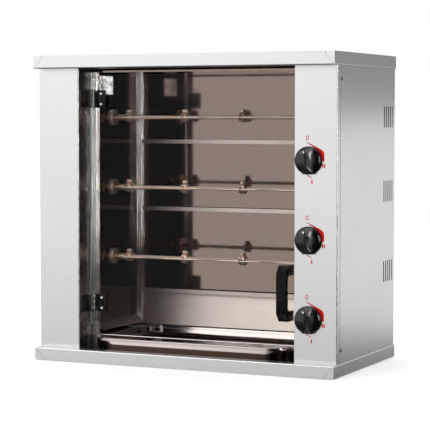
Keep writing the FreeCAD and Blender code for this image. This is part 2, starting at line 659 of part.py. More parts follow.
def fork(start, height, prong_sides):
    """A fork on the bar: hub, cross plate, and two prongs on each of the given sides."""
    end = f"{start} + fork_hub"
    middle = f"{start} + fork_hub / 2"
    pieces = [cylinder("fork_hub", "x", (start, end), ("spit_y", height), "fork_hub_dia"),
              box("fork_plate", about(middle, "fork_plate"),
                  ("spit_y - fork_half", "spit_y + fork_half"),
                  about(height, "fork_plate_wide"))]
    for away in ("-", "+"):
        centre = (f"spit_y {away} prong_off", height)
        if "right" in prong_sides:
            point = f"{end} + prong_length"
            pieces.append(cylinder("prong", "x", (middle, f"{point} - prong_tip"), centre, "prong_dia"))
            pieces.append(cone("prong_tip", "x", (f"{point} - prong_tip", point), centre,
                               "prong_dia", "prong_point"))
        if "left" in prong_sides:
            point = f"{start} - prong_length"
            pieces.append(cylinder("prong", "x", (f"{point} + prong_tip", middle), centre, "prong_dia"))
            pieces.append(cone("prong_tip", "x", (point, f"{point} + prong_tip"), centre,
                               "prong_point", "prong_dia"))
    solid = fuse("fork_solid", *pieces)
    bore = square_bar("fork_bore", beyond(f"{start}", f"{end}"), height, "bar_side + 2 * socket_play")
    tapped = cylinder("fork_tapped", "z", (height, f"{height} + fork_hub_dia"), (middle, "spit_y"), "screw_dia")
    return cut("fork", solid, bore, tapped)


def thumb_screw(start, height):
    """A thumb screw that clamps a fork on the bar."""
    middle = f"{start} + fork_hub / 2"
    shank = cylinder("thumb_shank", "z", (f"{height} + bar_side / 2", f"{height} + wing_out"),
                     (middle, "spit_y"), "screw_dia")
    wing = cylinder("thumb_wing", "z", (f"{height} + wing_out - wing_thick", f"{height} + wing_out"),
                    (middle, "spit_y"), "wing_dia - wing_edge")
    crown_span = (f"{height} + wing_out - wing_thick + wing_edge", f"{height} + wing_out - wing_edge")
    crown = cylinder("thumb_crown", "z", crown_span, (middle, "spit_y"), "wing_dia")
    return fuse("thumb_screw", shank, wing, crown)


FORK_SIDES = (("right",), ("left", "right"), ("left", "right"), ("left",))


def drive_socket(height):
    """The driven socket: a hub with a square hole and the shaft that turns in the gearbox."""
    hub = cylinder("socket_hub", "x", ("socket_start", "socket_end"), ("spit_y", height), "socket_dia")
    shaft = cylinder("socket_shaft", "x", ("socket_end - past", "socket_end + shaft_length"),
                     ("spit_y", height), "shaft_dia")
    hole = square_bar("socket_hole", ("socket_start - past", "socket_start + socket_depth"), height,
                      "bar_side + 2 * socket_play")
    return cut("drive_socket", fuse("socket_solid", hub, shaft), hole)


def gearmotor(height):
    """A gearbox on four stand-offs, with its motor can behind it and a bore for the drive shaft."""
    half = "motor_side / 2"
    gearbox = box("gearbox", ("motor_face", "can_face"), (f"spit_y - {half}", f"spit_y + {half}"),
                  (f"{height} - {half}", f"{height} + {half}"))
    can = cylinder("motor_can", "x", ("can_face", "can_face + can_length"), ("spit_y", height), "can_dia")
    stands = [cylinder("stand_off", "x", ("cavity_right + sheet", "motor_face + past"),
                       (f"spit_y {along} ({half} - stand_in)", f"{height} {up} ({half} - stand_in)"),
                       "stand_dia") for along in "+-" for up in "+-"]
    bore = cylinder("gearbox_bore", "x", beyond("motor_face", "socket_end + shaft_length"),
                    ("spit_y", height), "shaft_dia + 2 * running_gap")
    return cut("gearmotor", fuse("gearmotor_solid", gearbox, can, *stands), bore)


def spit_bush(height):
    """A flanged bush in the left cavity wall."""
    flange = cylinder("bush_flange", "x", ("cavity_left", "cavity_left + bush_flange_thick"),
                      ("spit_y", height), "bush_flange")
    sleeve = cylinder("bush_sleeve", "x", ("cavity_left - bush_length", "cavity_left + past"),
                      ("spit_y", height), "bush_dia")
    bore = cylinder("bush_bore", "x", beyond("cavity_left - bush_length", "cavity_left + bush_flange_thick"),
                    ("spit_y", height), "journal_dia + 2 * running_gap")
    return cut("bush", fuse("bush_solid", flange, sleeve), bore)


bushes, motors = [], []
for row, height in zip(ROWS, SPIT_Z):
    starts = [f"bar_start + fork_end_gap + {index} * bird_zone" for index in range(len(FORK_SIDES))]
    node(f"spit_bar_{row}", spit_bar(height))
    node(f"spit_forks_{row}", group("fork_set", [fork(start, height, sides)
                                                 for start, sides in zip(starts, FORK_SIDES)]))
    node(f"fork_screws_{row}", group("thumb_screws", [thumb_screw(start, height) for start in starts]))
    node(f"drive_socket_{row}", drive_socket(height))
    bushes.append(spit_bush(height))
    motors.append(gearmotor(height))
node("spit_bushes", group("bush_set", bushes))
node("gearmotors", group("motor_set", motors))

# ---------------------------------------------------------------- glass door and its hinges

door_screw_x = "axis_x + door_screw_in"
hinge_screw_z = [f"{height} {away} leaf_screw_pitch / 2" for height in HINGE_Z for away in "+-"]
handle_screw_z = [f"handle_z {away} handle_screw_up" for away in "+-"]
through_glass = beyond("glass_face", "glass_back")
pane = prism("pane", "XZ", [("glass_left", "floor + glass_low"), ("glass_right", "floor + glass_low"),
                            ("glass_right", "ceiling - glass_top"), ("glass_left", "ceiling - glass_top")],
             ("glass_face", "glass_back"))
pane_holes = [cylinder("pane_hole", "y", through_glass, (door_screw_x, height), "leaf_screw_dia + 2 * screw_gap")
              for height in hinge_screw_z]
pane_holes += [cylinder("pane_hole", "y", through_glass, ("handle_x", height), "handle_screw_dia + 2 * screw_gap")
               for height in handle_screw_z]
node("glass_door", cut("pane_drilled", pane, *pane_holes))


def hinge_levels(middle):
    """The four levels that split a hinge's knuckle: fixed, moving, fixed."""
    low, high = f"{middle} - hinge_tall / 2", f"{middle} + hinge_tall / 2"
    return low, f"{middle} - hinge_tall / 6", f"{middle} + hinge_tall / 6", high


def knuckle(name, span, diameter):
    return cylinder(name, "z", span, ("axis_x", "axis_y"), diameter)


def body_leaf(middle):
    """The fixed leaf: a plate on the wall of the recess, with an arm to the outer knuckles."""
    low, first, second, high = hinge_levels(middle)
    start = "panel_face + body_leaf_front"
    plate = box("leaf_plate", ("window_left", "window_left + leaf_thick"),
                (start, f"{start} + body_leaf_wide"), (low, high))
    arm = box("leaf_arm", ("window_left", "axis_x"),
              ("axis_y - knuckle_dia / 2", "axis_y - knuckle_dia / 2 + leaf_thick"), (low, high))
    solid = fuse("leaf_solid", plate, arm, knuckle("fixed_knuckle", (low, high), "knuckle_dia"))
    room = knuckle("knuckle_room", (f"{first} - knuckle_gap", f"{second} + knuckle_gap"),
                   "knuckle_dia + 2 * knuckle_gap")
    holes = [cylinder("leaf_hole", "x", beyond("window_left", "window_left + leaf_thick"),
                      ("panel_face + body_screw_front", f"{middle} {away} leaf_screw_pitch / 2"),
                      "leaf_screw_dia + screw_gap") for away in "+-"]
    return cut("body_leaf", solid, room, knuckle("pin_seat", beyond(f"{low}", f"{high}"), "pin_dia"), *holes)


def door_leaf(middle):
    """The moving leaf: a plate on the glass and the middle knuckle."""
    low, first, second, high = hinge_levels(middle)
    plate = box("door_plate", ("axis_x + door_leaf_start", "axis_x + door_leaf_start + door_leaf_wide"),
                ("glass_face - door_leaf_thick", "glass_face"), (low, high))
    web = box("door_web", ("axis_x", "axis_x + door_leaf_start + past"),
              ("glass_face - door_leaf_thick", "glass_face - knuckle_gap"), (first, second))
    solid = fuse("door_leaf_solid", plate, web, knuckle("moving_knuckle", (first, second), "knuckle_dia"))
    holes = [cylinder("door_leaf_hole", "y", beyond("glass_face - door_leaf_thick", "glass_face"),
                      (door_screw_x, f"{middle} {away} leaf_screw_pitch / 2"), "leaf_screw_dia + screw_gap")
             for away in "+-"]
    bore = knuckle("pin_bore", beyond(f"{low}", f"{high}"), "pin_dia + 2 * running_gap")
    return cut("door_leaf", solid, bore, *holes)


node("hinge_body_leaves", group("body_leaf_pair", [body_leaf(height) for height in HINGE_Z]))
node("hinge_door_leaves", group("door_leaf_pair", [door_leaf(height) for height in HINGE_Z]))
node("hinge_pins", group("pin_pair", [
    knuckle("hinge_pin", (f"{hinge_levels(height)[0]} - pin_over", f"{hinge_levels(height)[3]} + pin_over"),
            "pin_dia") for height in HINGE_Z]))

wall_screws = []
for height in hinge_screw_z:
    at = ("panel_face + body_screw_front", height)
    head = cone("wall_screw_head", "x", ("window_left + leaf_thick", "window_left + leaf_thick + leaf_head"),
                at, "leaf_head_dia", "leaf_head_top")
    shank = cylinder("wall_screw_shank", "x", ("window_left", "window_left + leaf_thick + past"), at,
                     "leaf_screw_dia")
    wall_screws.append(fuse("wall_screw", head, shank))
node("hinge_wall_screws", group("wall_screw_set", wall_screws))

door_screws = []
for height in hinge_screw_z:
    at = (door_screw_x, height)
    leaf_front = "glass_face - door_leaf_thick"
    head = cone("door_screw_head", "y", (f"{leaf_front} - leaf_head", leaf_front), at,
                "leaf_head_top", "leaf_head_dia")
    shank = cylinder("door_screw_shank", "y", beyond(f"{leaf_front}", "glass_back"), at, "leaf_screw_dia")
    nut = cylinder("cap_nut", "y", ("glass_back", "glass_back + cap_nut"), at, "cap_nut_dia")
    door_screws.append(fuse("door_screw", head, shank, nut))
for height in handle_screw_z:
    at = ("handle_x", height)
    shank = cylinder("handle_screw_shank", "y", ("glass_face - handle_screw_in", "glass_back + past"), at,
                     "handle_screw_dia")
    head = cylinder("handle_screw_head", "y", ("glass_back", "glass_back + washer"), at, "washer_dia")
    door_screws.append(fuse("handle_screw", shank, head))
node("door_screws", group("door_screw_set", door_screws))

half_flat, half_tall = "handle_flat / 2", "handle_tall / 2"
handle_outline = [
    ("glass_face", f"handle_z - {half_tall}"),
    ("glass_face - handle_out + handle_shoulder", f"handle_z - {half_tall}"),
    ("glass_face - handle_out", f"handle_z - {half_flat}"),
    ("glass_face - handle_out", f"handle_z + {half_flat}"),
    ("glass_face - handle_out + handle_shoulder", f"handle_z + {half_tall}"),
    ("glass_face", f"handle_z + {half_tall}"),
    ("glass_face", f"handle_z + {half_tall} - handle_foot"),
    ("glass_face - handle_out + handle_grip + handle_inner", f"handle_z + {half_tall} - handle_foot"),
    ("glass_face - handle_out + handle_grip", f"handle_z + {half_tall} - handle_foot - handle_inner"),
    ("glass_face - handle_out + handle_grip", f"handle_z - {half_tall} + handle_foot + handle_inner"),
    ("glass_face - handle_out + handle_grip + handle_inner", f"handle_z - {half_tall} + handle_foot"),
    ("glass_face", f"handle_z - {half_tall} + handle_foot")]
handle = prism("handle_bar", "YZ", handle_outline, about("handle_x", "handle_wide"))
handle_holes = [cylinder("handle_hole", "y", beyond("glass_face - handle_screw_in", "glass_face"),
                         ("handle_x", height), "handle_screw_dia + screw_gap") for height in handle_screw_z]
node("door_handle", cut("handle_drilled", handle, *handle_holes))

catch_span = ("floor + catch_up - catch_tall / 2", "floor + catch_up + catch_tall / 2")
catch_x = ("glass_right - catch_in - catch_wide", "glass_right - catch_in")
node("catch_plate", box("catch_plate_block", catch_x, ("glass_back", "glass_back + catch_plate"), catch_span))
magnet_x = ("cavity_right - post + magnet_in", "cavity_right - post + magnet_in + catch_wide")
node("door_catch", box("catch_magnet", magnet_x, ("glass_back + catch_plate + catch_air", "post_face"),
                       catch_span))

# ---------------------------------------------------------------- switches, knobs and dials


def knob(height):
    """A round skirt that rises to a face, with a grip across it and a bore for the spindle."""
    skirt = turned("knob_skirt", "y", [
        ("knob_back", "0"), ("knob_back", "knob_dia / 2"), ("knob_back - knob_skirt + knob_edge", "knob_dia / 2"),
        ("knob_back - knob_skirt", "knob_dia / 2 - knob_edge"), ("knob_back - knob_face", "knob_face_dia / 2"),
        ("knob_back - knob_face", "0")], ("knob_x", height))
    front_y = "panel_face - knob_out"
    grip = prism("knob_grip", "YZ", [
        ("knob_back - grip_root", f"{height} - grip_half"), ("knob_back - grip_root", f"{height} + grip_half"),
        (f"{front_y} + grip_end_out", f"{height} + grip_half"), (front_y, f"{height} + grip_half - grip_end_in"),
        (front_y, f"{height} - grip_half + grip_end_in"), (f"{front_y} + grip_end_out", f"{height} - grip_half")],
        about("knob_x", "grip_thick"))
    bore = cylinder("knob_bore", "y", ("knob_back - spindle_in_knob", "knob_back + past"), ("knob_x", height),
                    "spindle_dia")
    return cut("knob", fuse("knob_solid", skirt, grip), bore)


def rotary_switch(height):
    """The switch behind the panel: a block with a bore for the spindle and contact blades."""
    half = "switch_side / 2"
    block = box("switch_block", (f"knob_x - {half}", f"knob_x + {half}"),
                ("switch_face", "switch_face + switch_deep"), (f"{height} - {half}", f"{height} + {half}"))
    back = "switch_face + switch_deep"
    blades = []
    for column in (-1.5, -0.5, 0.5, 1.5):
        x = f"knob_x + {column} * blade_pitch"
        for up in (-1, 1):
            z = f"{height} + {up} * blade_pitch"
            blades.append(box("blade", about(x, "blade_thick"),
                              (f"{back} - past", f"{back} + blade_long"),
                              about(z, "blade_wide")))
    bore = cylinder("switch_bore", "y", beyond("switch_face", "switch_face + spindle_in_switch"),
                    ("knob_x", height), "spindle_dia + 2 * running_gap")
    return cut("rotary_switch", fuse("switch_solid", block, *blades), bore)


def mark(outline, height):
    """A flat printed shape on the panel, its outline given from the knob's axis."""
    placed = [(f"knob_x + {across}", f"{height} + {up}") for across, up in outline]
    return prism("mark", "XZ", placed, ("panel_face - mark_thick", "panel_face"))


def bar_mark(across, up, half_tall_mm):
    """A short upright stroke."""
    left, right = about(across, "mark_bar")
    low, high = f"{up} - {half_tall_mm}", f"{up} + {half_tall_mm}"
    return [(left, low), (right, low), (right, high), (left, high)]


# The dial round each knob: a line that swells from the off mark round to mark two, mark two as a
# pair of bars, then a short line to the single bar of mark one. All keep outside the knob's skirt.
SWELLING_LINE = [(-5.7, 42.8), (7.6, 37.4), (21.8, 30.4), (33.3, 24.6), (37.4, 20.4), (39, 15.1),
                 (39.2, -1.9), (33.4, -1.9), (32.8, 6.5), (30.4, 14), (26, 21), (19.5, 27.2),
                 (6.6, 34.6), (-5.3, 41.2)]
LOW_LINE = [(-4.7, -33.6), (8, -39.2), (7.2, -40.9), (-6, -34.8)]
OFF_MARK = (-3.8, 52.9, 3.6, 4.8)
BARS = [(8.2, -50, 4.6), (35.2, -12.3, 4.6), (39.7, -12.3, 4.6)]

marks, switches = [], []
for row, height in zip(ROWS, KNOB_Z):
    node(f"knob_{row}", knob(height))
    node(f"switch_spindle_{row}", cylinder("spindle", "y", ("knob_back - spindle_in_knob",
                                                            "switch_face + spindle_in_switch"),
                                           ("knob_x", height), "spindle_dia"))
    switches.append(rotary_switch(height))
    for outline in (SWELLING_LINE, LOW_LINE):
        marks.append(mark(outline, height))
    for across, up, half_tall_mm in BARS:
        marks.append(mark(bar_mark(across, up, half_tall_mm), height))
    across, up, half_wide, half_high = OFF_MARK
    ring = mark([(across - half_wide, up - half_high), (across + half_wide, up - half_high),
                 (across + half_wide, up + half_high), (across - half_wide, up + half_high)], height)
    inner_x = (f"knob_x + {across} - {half_wide} + mark_line", f"knob_x + {across} + {half_wide} - mark_line")
    inner_z = (f"{height} + {up} - {half_high} + mark_line", f"{height} + {up} + {half_high} - mark_line")
    marks.append(cut("off_ring", ring, box("ring_hole", inner_x, beyond("panel_face", "panel_face"), inner_z)))
node("rotary_switches", group("switch_set", switches))
node("dial_markings", group("mark_set", marks))

# ---------------------------------------------------------------- lamp

lamp_across = ("lamp_y", "lamp_y + lamp_wide")
lamp_up = ("lamp_z", "lamp_z + lamp_tall")
inner_along = ("lamp_y + lamp_rim", "lamp_y + lamp_wide - lamp_rim")
inner_up = ("lamp_z + lamp_rim", "lamp_z + lamp_tall - lamp_rim")
bezel = box("bezel_block", ("cavity_left", "cavity_left + lamp_proud"), lamp_across, lamp_up)
bezel_hole = box("bezel_hole", beyond("cavity_left", "cavity_left + lamp_proud"), inner_along, inner_up)
node("lamp_bezel", cut("bezel_frame", bezel, bezel_hole))
node("lamp_glass", box("lamp_pane", ("cavity_left + lamp_proud - lamp_glass", "cavity_left + lamp_proud"),
                       tuple(f"{place} {shift} screw_gap" for place, shift in zip(inner_along, "+-")),
                       tuple(f"{place} {shift} screw_gap" for place, shift in zip(inner_up, "+-"))))
housing_end = "cavity_left - sheet"
housing = box("housing_block", (f"{housing_end} - lamp_deep", housing_end), inner_along, inner_up)
housing_room = box("housing_room", (f"{housing_end} - lamp_deep + lamp_sheet", f"{housing_end} + past"),
                   tuple(f"{place} {shift} lamp_sheet" for place, shift in zip(inner_along, "+-")),
                   tuple(f"{place} {shift} lamp_sheet" for place, shift in zip(inner_up, "+-")))
node("lamp_housing", cut("housing_shell", housing, housing_room))
bulb_at = ("lamp_y + lamp_wide / 2", "lamp_z + lamp_tall / 2")
bulb_low = f"{housing_end} - lamp_deep + lamp_sheet"
bulb_neck = f"{bulb_low} + bulb_base"
node("lamp_bulb", fuse("bulb",
                       cylinder("bulb_base", "x", (bulb_low, f"{bulb_neck} + past"), bulb_at, "bulb_base_dia"),
                       cylinder("bulb_glass", "x", (bulb_neck, f"{bulb_neck} + bulb_length"), bulb_at,
                                "bulb_dia")))

# ---------------------------------------------------------------- feet, mains entry and screws

feet = []
for across in ("-side + foot_side", "side - foot_side"):
    for along in ("front + foot_front", "rear - foot_front"):
        tread = cylinder("foot_tread", "z", ("0", "foot_tread"), (across, along), "foot_dia")
        stem = cylinder("foot_stem", "z", ("foot_tread - past", "floor - sheet"), (across, along),
                        "foot_stem_dia")
        feet.append(fuse("foot", tread, stem))
node("feet", group("foot_set", feet))

gland_at = ("gland_x", "gland_z")
inside = "cover_face - sheet"
gland = fuse("gland_solid",
             cylinder("gland_nut", "y", (f"{inside} - gland_nut", inside), gland_at, "gland_nut_dia"),
             cylinder("gland_thread", "y", (f"{inside} - gland_nut", "cover_face + past"), gland_at, "gland_dia"),
             cylinder("gland_hex", "y", ("cover_face", "cover_face + gland_hex"), gland_at, "gland_nut_dia"),
             cone("gland_cap", "y", ("cover_face + gland_hex", "cover_face + gland_hex + gland_cap"), gland_at,
                  "gland_cap_dia", "gland_cap_end"))
node("cable_gland", cut("gland_bored", gland, cylinder(
    "gland_bore", "y", beyond(f"{inside} - gland_nut", "cover_face + gland_hex + gland_cap"), gland_at,
    "gland_bore")))

terminal_x = about("gland_x", "terminal_wide")
terminal_far = f"{inside} - gland_nut - terminal_deep"
terminal = box("terminal_body", terminal_x, (f"{terminal_far} - terminal_deep", terminal_far),
               ("floor", "floor + terminal_tall"))
terminal_bores = [cylinder("terminal_bore", "y", beyond(f"{terminal_far} - terminal_deep", f"{terminal_far}"),
                           (f"gland_x + {way} * terminal_wide / 6", "floor + terminal_tall / 2"), "terminal_bore")
                  for way in (-2, -1, 0, 1, 2)]
node("terminal_block", cut("terminal_drilled", terminal, *terminal_bores))


def domed_screw(axis, face, outwards, at):
    """A domed screw: head on the face, shank behind it. outwards is + or - along the axis."""
    if outwards == "+":
        head = cone("screw_head", axis, (face, f"{face} + case_screw_head"), at,
                    "case_screw_dia", "case_screw_top")
        shank = cylinder("screw_shank", axis, (f"{face} - case_screw_long", f"{face} + past"), at,
                         "case_screw_shank")
    else:
        head = cone("screw_head", axis, (f"{face} - case_screw_head", face), at,
                    "case_screw_top", "case_screw_dia")
        shank = cylinder("screw_shank", axis, (f"{face} - past", f"{face} + case_screw_long"), at,
                         "case_screw_shank")
    return fuse("screw", head, shank)


case_screws = []
for height in ("floor + case_screw_end", "ceiling - case_screw_end"):
    at = ("front + case_screw_back", height)
    case_screws.append(domed_screw("x", "case_side", "+", at))
    case_screws.append(domed_screw("x", "-case_side", "-", at))
node("case_screws", group("case_screw_set", case_screws))

# ---------------------------------------------------------------- check and write

doc.recompute()
for thing in doc.Objects:
    if "Invalid" in thing.State or "Error" in thing.State:
        raise RuntimeError(f"{thing.Label} ({thing.Name}) did not compute: {thing.State}")
for name, solid in nodes.items():
    if solid.Shape.isNull() or not solid.Shape.isValid():
        raise RuntimeError(f"{name} has no valid shape")

os.makedirs("parts", exist_ok=True)
for name, solid in nodes.items():
    solid.Shape.exportStep(f"parts/{name}.step")
print(len(nodes), "nodes written")
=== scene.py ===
import json
import math

import bmesh
import bpy
from bpy.props import FloatProperty, FloatVectorProperty, PointerProperty
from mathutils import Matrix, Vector


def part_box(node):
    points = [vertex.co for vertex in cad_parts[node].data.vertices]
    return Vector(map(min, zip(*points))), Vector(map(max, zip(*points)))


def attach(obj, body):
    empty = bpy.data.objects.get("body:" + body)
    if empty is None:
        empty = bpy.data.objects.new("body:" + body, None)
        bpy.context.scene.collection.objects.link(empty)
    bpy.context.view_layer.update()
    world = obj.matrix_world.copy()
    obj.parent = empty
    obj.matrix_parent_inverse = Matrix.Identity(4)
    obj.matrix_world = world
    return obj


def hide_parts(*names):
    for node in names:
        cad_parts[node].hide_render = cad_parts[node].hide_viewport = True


bl_info = {
    "name": "Rotisserie oven",
    "version": (1, 0, 0),
    "blender": (4, 5, 0),
    "location": "3D View > Sidebar > Oven",
    "description": "Finishes a stainless rotisserie oven around its packed CAD frame",
    "category": "Object",
}

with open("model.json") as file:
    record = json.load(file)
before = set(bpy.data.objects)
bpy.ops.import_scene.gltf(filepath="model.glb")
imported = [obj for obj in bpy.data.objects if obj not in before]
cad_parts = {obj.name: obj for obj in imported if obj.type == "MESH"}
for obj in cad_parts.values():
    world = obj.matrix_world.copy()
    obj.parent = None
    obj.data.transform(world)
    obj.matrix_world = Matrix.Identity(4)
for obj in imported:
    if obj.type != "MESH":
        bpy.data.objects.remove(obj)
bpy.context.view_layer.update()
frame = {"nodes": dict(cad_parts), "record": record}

MM = 0.001


def linear(code):
    """An sRGB hex colour as linear red, green and blue."""
    shares = [int(code[i:i + 2], 16) / 255 for i in (1, 3, 5)]
    return tuple(s / 12.92 if s <= 0.04045 else ((s + 0.055) / 1.055) ** 2.4 for s in shares)


# ---------------------------------------------------------------- sizes and colours

def length(name, description, value):
    """A length property, its default given in millimetres."""
    return FloatProperty(name=name, description=description, default=value * MM, min=0,
                         unit="LENGTH", subtype="DISTANCE", precision=4)


def colour(name, description, code):
    """A colour property, its default given as an sRGB hex value."""
    return FloatVectorProperty(name=name, description=description, default=linear(code), size=3,
                               min=0, max=1, subtype="COLOR")


class OvenSizes(bpy.types.PropertyGroup):
    """Sizes of the finished pieces that the CAD frame leaves plain."""

    handle_round: length("Handle edge radius", "Rounding along the edges of the door handle", 5)
    grip_round: length("Grip edge radius", "Rounding along the ridges of the knobs' grips", 1)
    pan_corner: length("Pan corner radius", "Outer corner of the drip pan, seen from above", 59)
    pan_rim: length("Pan rim width", "Flat rim round the drip pan", 7)
    pan_draft: length("Pan draft", "How much the pan narrows from its rim to its floor, on each side", 7)
    pan_rim_drop: length("Pan rim drop", "Turned down edge of the rim", 4.4)
    pan_foot: length("Pan foot radius", "Rounding between the pan's floor and its wall", 12)
    pan_bead: length("Pan bead radius", "Rounding of the rim's outer and inner edges", 1.6)
    pan_sheet: length("Pan sheet", "Thickness of the drip pan's sheet", 1.2)
    post_bead: length("Post bead radius", "Radius of the beads rolled along the posts", 2.6)
    liner_thick: length("Liner sheet", "Thickness of the liner under the drip pan", 0.2)
    leaf_round: length("Hinge edge radius", "Rounding of the hinge leaves", 0.7)
    knuckle_radius: length("Knuckle radius", "How far round the pin the hinge is bare steel", 7.9)
    bar_round: length("Turned edge radius", "Small rounding of bars, wheels and bushes", 0.5)
    foot_round: length("Foot edge radius", "Rounding of the rubber feet", 1.2)
    plate_round: length("Plate edge radius", "Rounding of the door's catch plate", 0.2)
    bezel_round: length("Lamp frame radius", "Rounding of the lamp's frame", 0.8)
    ripple: length("Ripple pitch", "Distance between the lamp glass's ripples", 9)
    ripple_deep: length("Ripple depth", "Depth of the lamp glass's ripples", 1.4)


class OvenColours(bpy.types.PropertyGroup):
    """Colours of the oven's finishes."""

    casing: colour("Casing", "Brushed stainless casing", "#D6D6D5")
    cavity: colour("Cavity", "Polished cavity sheet with a baked-on tint", "#83736B")
    ledge: colour("Ledges", "Brushed deflectors and heater shelves", "#E4D6CE")
    # The liner's colour is painted shade: a dark sheet where the floor round the drip pan lies in shadow.
    liner: colour("Floor liner", "Heat-browned sheet under the drip pan", "#3A2C25")
    fitting: colour("Spit fittings", "Satin steel of wheels, forks and sockets", "#F0D6C6")
    bright: colour("Bright bar", "Drawn bar and tube", "#E2DEDA")
    pan: colour("Pan", "Deep drawn pan", "#A89F9A")
    screw: colour("Screws", "Bright plated screws", "#E0DEDA")
    enamel: colour("Hinge enamel", "Black baked enamel", "#0B0A0A")
    knuckle: colour("Hinge knuckle", "Satin steel knuckle", "#8C8A88")
    leaf: colour("Hinge leaf", "Heat-dulled steel leaf on the cabinet", "#77736F")
    handle: colour("Handle", "Glossy black phenolic", "#060606")
    knob: colour("Knobs", "Satin black polyamide", "#060606")
    ink: colour("Dial ink", "Red screen printed ink", "#BE0408")
    heater: colour("Heater tube", "Oxidised nickel alloy tube", "#4B443D")
    bronze: colour("Bushes", "Sintered bronze", "#A98550")
    motor: colour("Gearmotors", "Grey motor paint", "#6E7278")
    switch: colour("Switch bodies", "Cream moulded polyester", "#D8CFB8")
    rubber: colour("Feet", "Black rubber", "#121212")
    edge: colour("Glass edge", "Ground edge of the door glass", "#9AA8A0")
    magnet: colour("Magnet", "Ferrite of the door catch", "#3A3A3C")
    pointer: colour("Pointer", "Painted pointer of the knobs", "#E8E8E8")
    floor: colour("Floor", "Pale studio floor", "#F4F4F4")


# ---------------------------------------------------------------- material building

def add(tree, kind, settings=(), links=()):
    """Adds a shader node with its settings, by socket or option name, and links from other nodes, by
    their first output, or from a socket."""
    new = tree.nodes.new("ShaderNode" + kind)
    for key, value in dict(settings).items():
        if isinstance(key, str) and hasattr(new, key):
            setattr(new, key, value)
        else:
            new.inputs[key].default_value = value
    for key, source in dict(links).items():
        socket = source.outputs[0] if isinstance(source, bpy.types.Node) else source
        tree.links.new(socket, new.inputs[key])
    return new


def blank(name):
    """A new material with only its output node."""
    material = bpy.data.materials.new(name)
    material.use_nodes = True
    tree = material.node_tree
    tree.nodes.clear()
    return material, tree


def shades(base, low, high=1.0):
    """The base colour darkened to two shades, as the ends of a mix."""
    return tuple(c * low for c in base) + (1,), tuple(c * high for c in base) + (1,)


def per(millimetres):
    """The texture scale that gives a pattern of this real size on coordinates in metres."""
    return 1 / (millimetres * MM)


LYING, STANDING = "lying", "standing"
# How many times longer a streak is than it is wide.
ALONG_GRAIN = 60


def grain_vector(tree, across, direction):
    """Object coordinates squeezed so that noise on them is streaks this many millimetres across."""
    place = add(tree, "TexCoord").outputs["Object"]
    fine, long = per(across), per(across) / ALONG_GRAIN
    if direction == STANDING:
        return add(tree, "Mapping", {"Scale": (fine, fine, long)}, {"Vector": place})
    normal = add(tree, "NewGeometry").outputs["True Normal"]
    facing = add(tree, "SeparateXYZ", (), {0: normal})
    level = add(tree, "Math", {"operation": "MULTIPLY"},
                {0: facing.outputs["Z"], 1: facing.outputs["Z"]})
    stretch = add(tree, "MapRange", {"To Min": long, "To Max": fine}, {"Value": level})
    scale = add(tree, "CombineXYZ", {"X": long, "Z": fine}, {"Y": stretch})
    return add(tree, "VectorMath", {"operation": "MULTIPLY"}, {0: place, 1: scale})


def brushed(name, base, roughness, direction=STANDING, across=1.2, uneven=0.02, dark=0.978, depth=0.008,
            smudge=0.025, cloud=180):
    """Steel with a grain: streaks vary its colour, roughness and height, and handling clouds its shine.
    Across is a streak's width, depth its height and cloud the size of a smudge, in millimetres."""
    material, tree = blank(name)
    streaks = add(tree, "TexNoise", {"Scale": 1, "Detail": 3, "Roughness": 0.6},
                  {"Vector": grain_vector(tree, across, direction)})
    clouds = add(tree, "TexNoise", {"Scale": per(cloud), "Detail": 3, "Roughness": 0.55},
                 {"Vector": add(tree, "TexCoord").outputs["Object"]})
    low, high = shades(base, dark)
    tone = add(tree, "Mix", {"data_type": "RGBA", 6: low, 7: high}, {0: streaks})
    fine = add(tree, "MapRange", {"From Min": 0.3, "From Max": 0.7, "To Min": roughness - uneven,
                                  "To Max": roughness + uneven}, {"Value": streaks})
    wide = add(tree, "MapRange", {"From Min": 0.35, "From Max": 0.65, "To Min": -smudge,
                                  "To Max": smudge}, {"Value": clouds})
    rough = add(tree, "Math", {"operation": "ADD", "use_clamp": True}, {0: fine, 1: wide})
    height = add(tree, "Bump", {"Strength": 0.2, "Distance": depth * MM}, {"Height": streaks})
    shader = add(tree, "BsdfPrincipled", {"Metallic": 1},
                 {"Base Color": tone.outputs[2], "Roughness": rough, "Normal": height})
    add(tree, "OutputMaterial", (), {"Surface": shader})
    return material


def moulded(name, base, roughness, grit=0.5, depth=0.03, bright=1.25, specular=0.5):
    """Plastic, rubber or paint: a fine moulded texture, its pitch and depth in millimetres, with slight
    differences of tone and shine."""
    material, tree = blank(name)
    place = add(tree, "TexCoord").outputs["Object"]
    grain = add(tree, "TexNoise", {"Scale": per(grit), "Detail": 2}, {"Vector": place})
    clouds = add(tree, "TexNoise", {"Scale": per(30), "Detail": 3}, {"Vector": place})
    low, high = shades(base, 0.85, bright)
    tone = add(tree, "Mix", {"data_type": "RGBA", 6: low, 7: high}, {0: clouds})
    rough = add(tree, "MapRange", {"From Min": 0.3, "From Max": 0.7, "To Min": roughness * 0.8,
                                   "To Max": roughness * 1.2}, {"Value": clouds})
    height = add(tree, "Bump", {"Strength": 0.3, "Distance": depth * MM}, {"Height": grain})
    shader = add(tree, "BsdfPrincipled",
                 {"Metallic": 0, "Specular IOR Level": specular},
                 {"Base Color": tone.outputs[2], "Roughness": rough, "Normal": height})
    add(tree, "OutputMaterial", (), {"Surface": shader})
    return material


# Sizes of the patterns in the glass, in millimetres: a spot of grease, and the cells and waves of pressed
# glass with the height of its ripples.
GREASE_SPOT, PRESSED_CELL, PRESSED_WAVE, PRESSED_HEIGHT = 90, 11, 25, 0.8
# A painted glow on the lamp glass: it stands in for the bright reflections in its pressed pattern, not for a
# lit bulb.
LAMP_PAINTED_GLOW = 0.75
GLASS_INDEX = 1.5


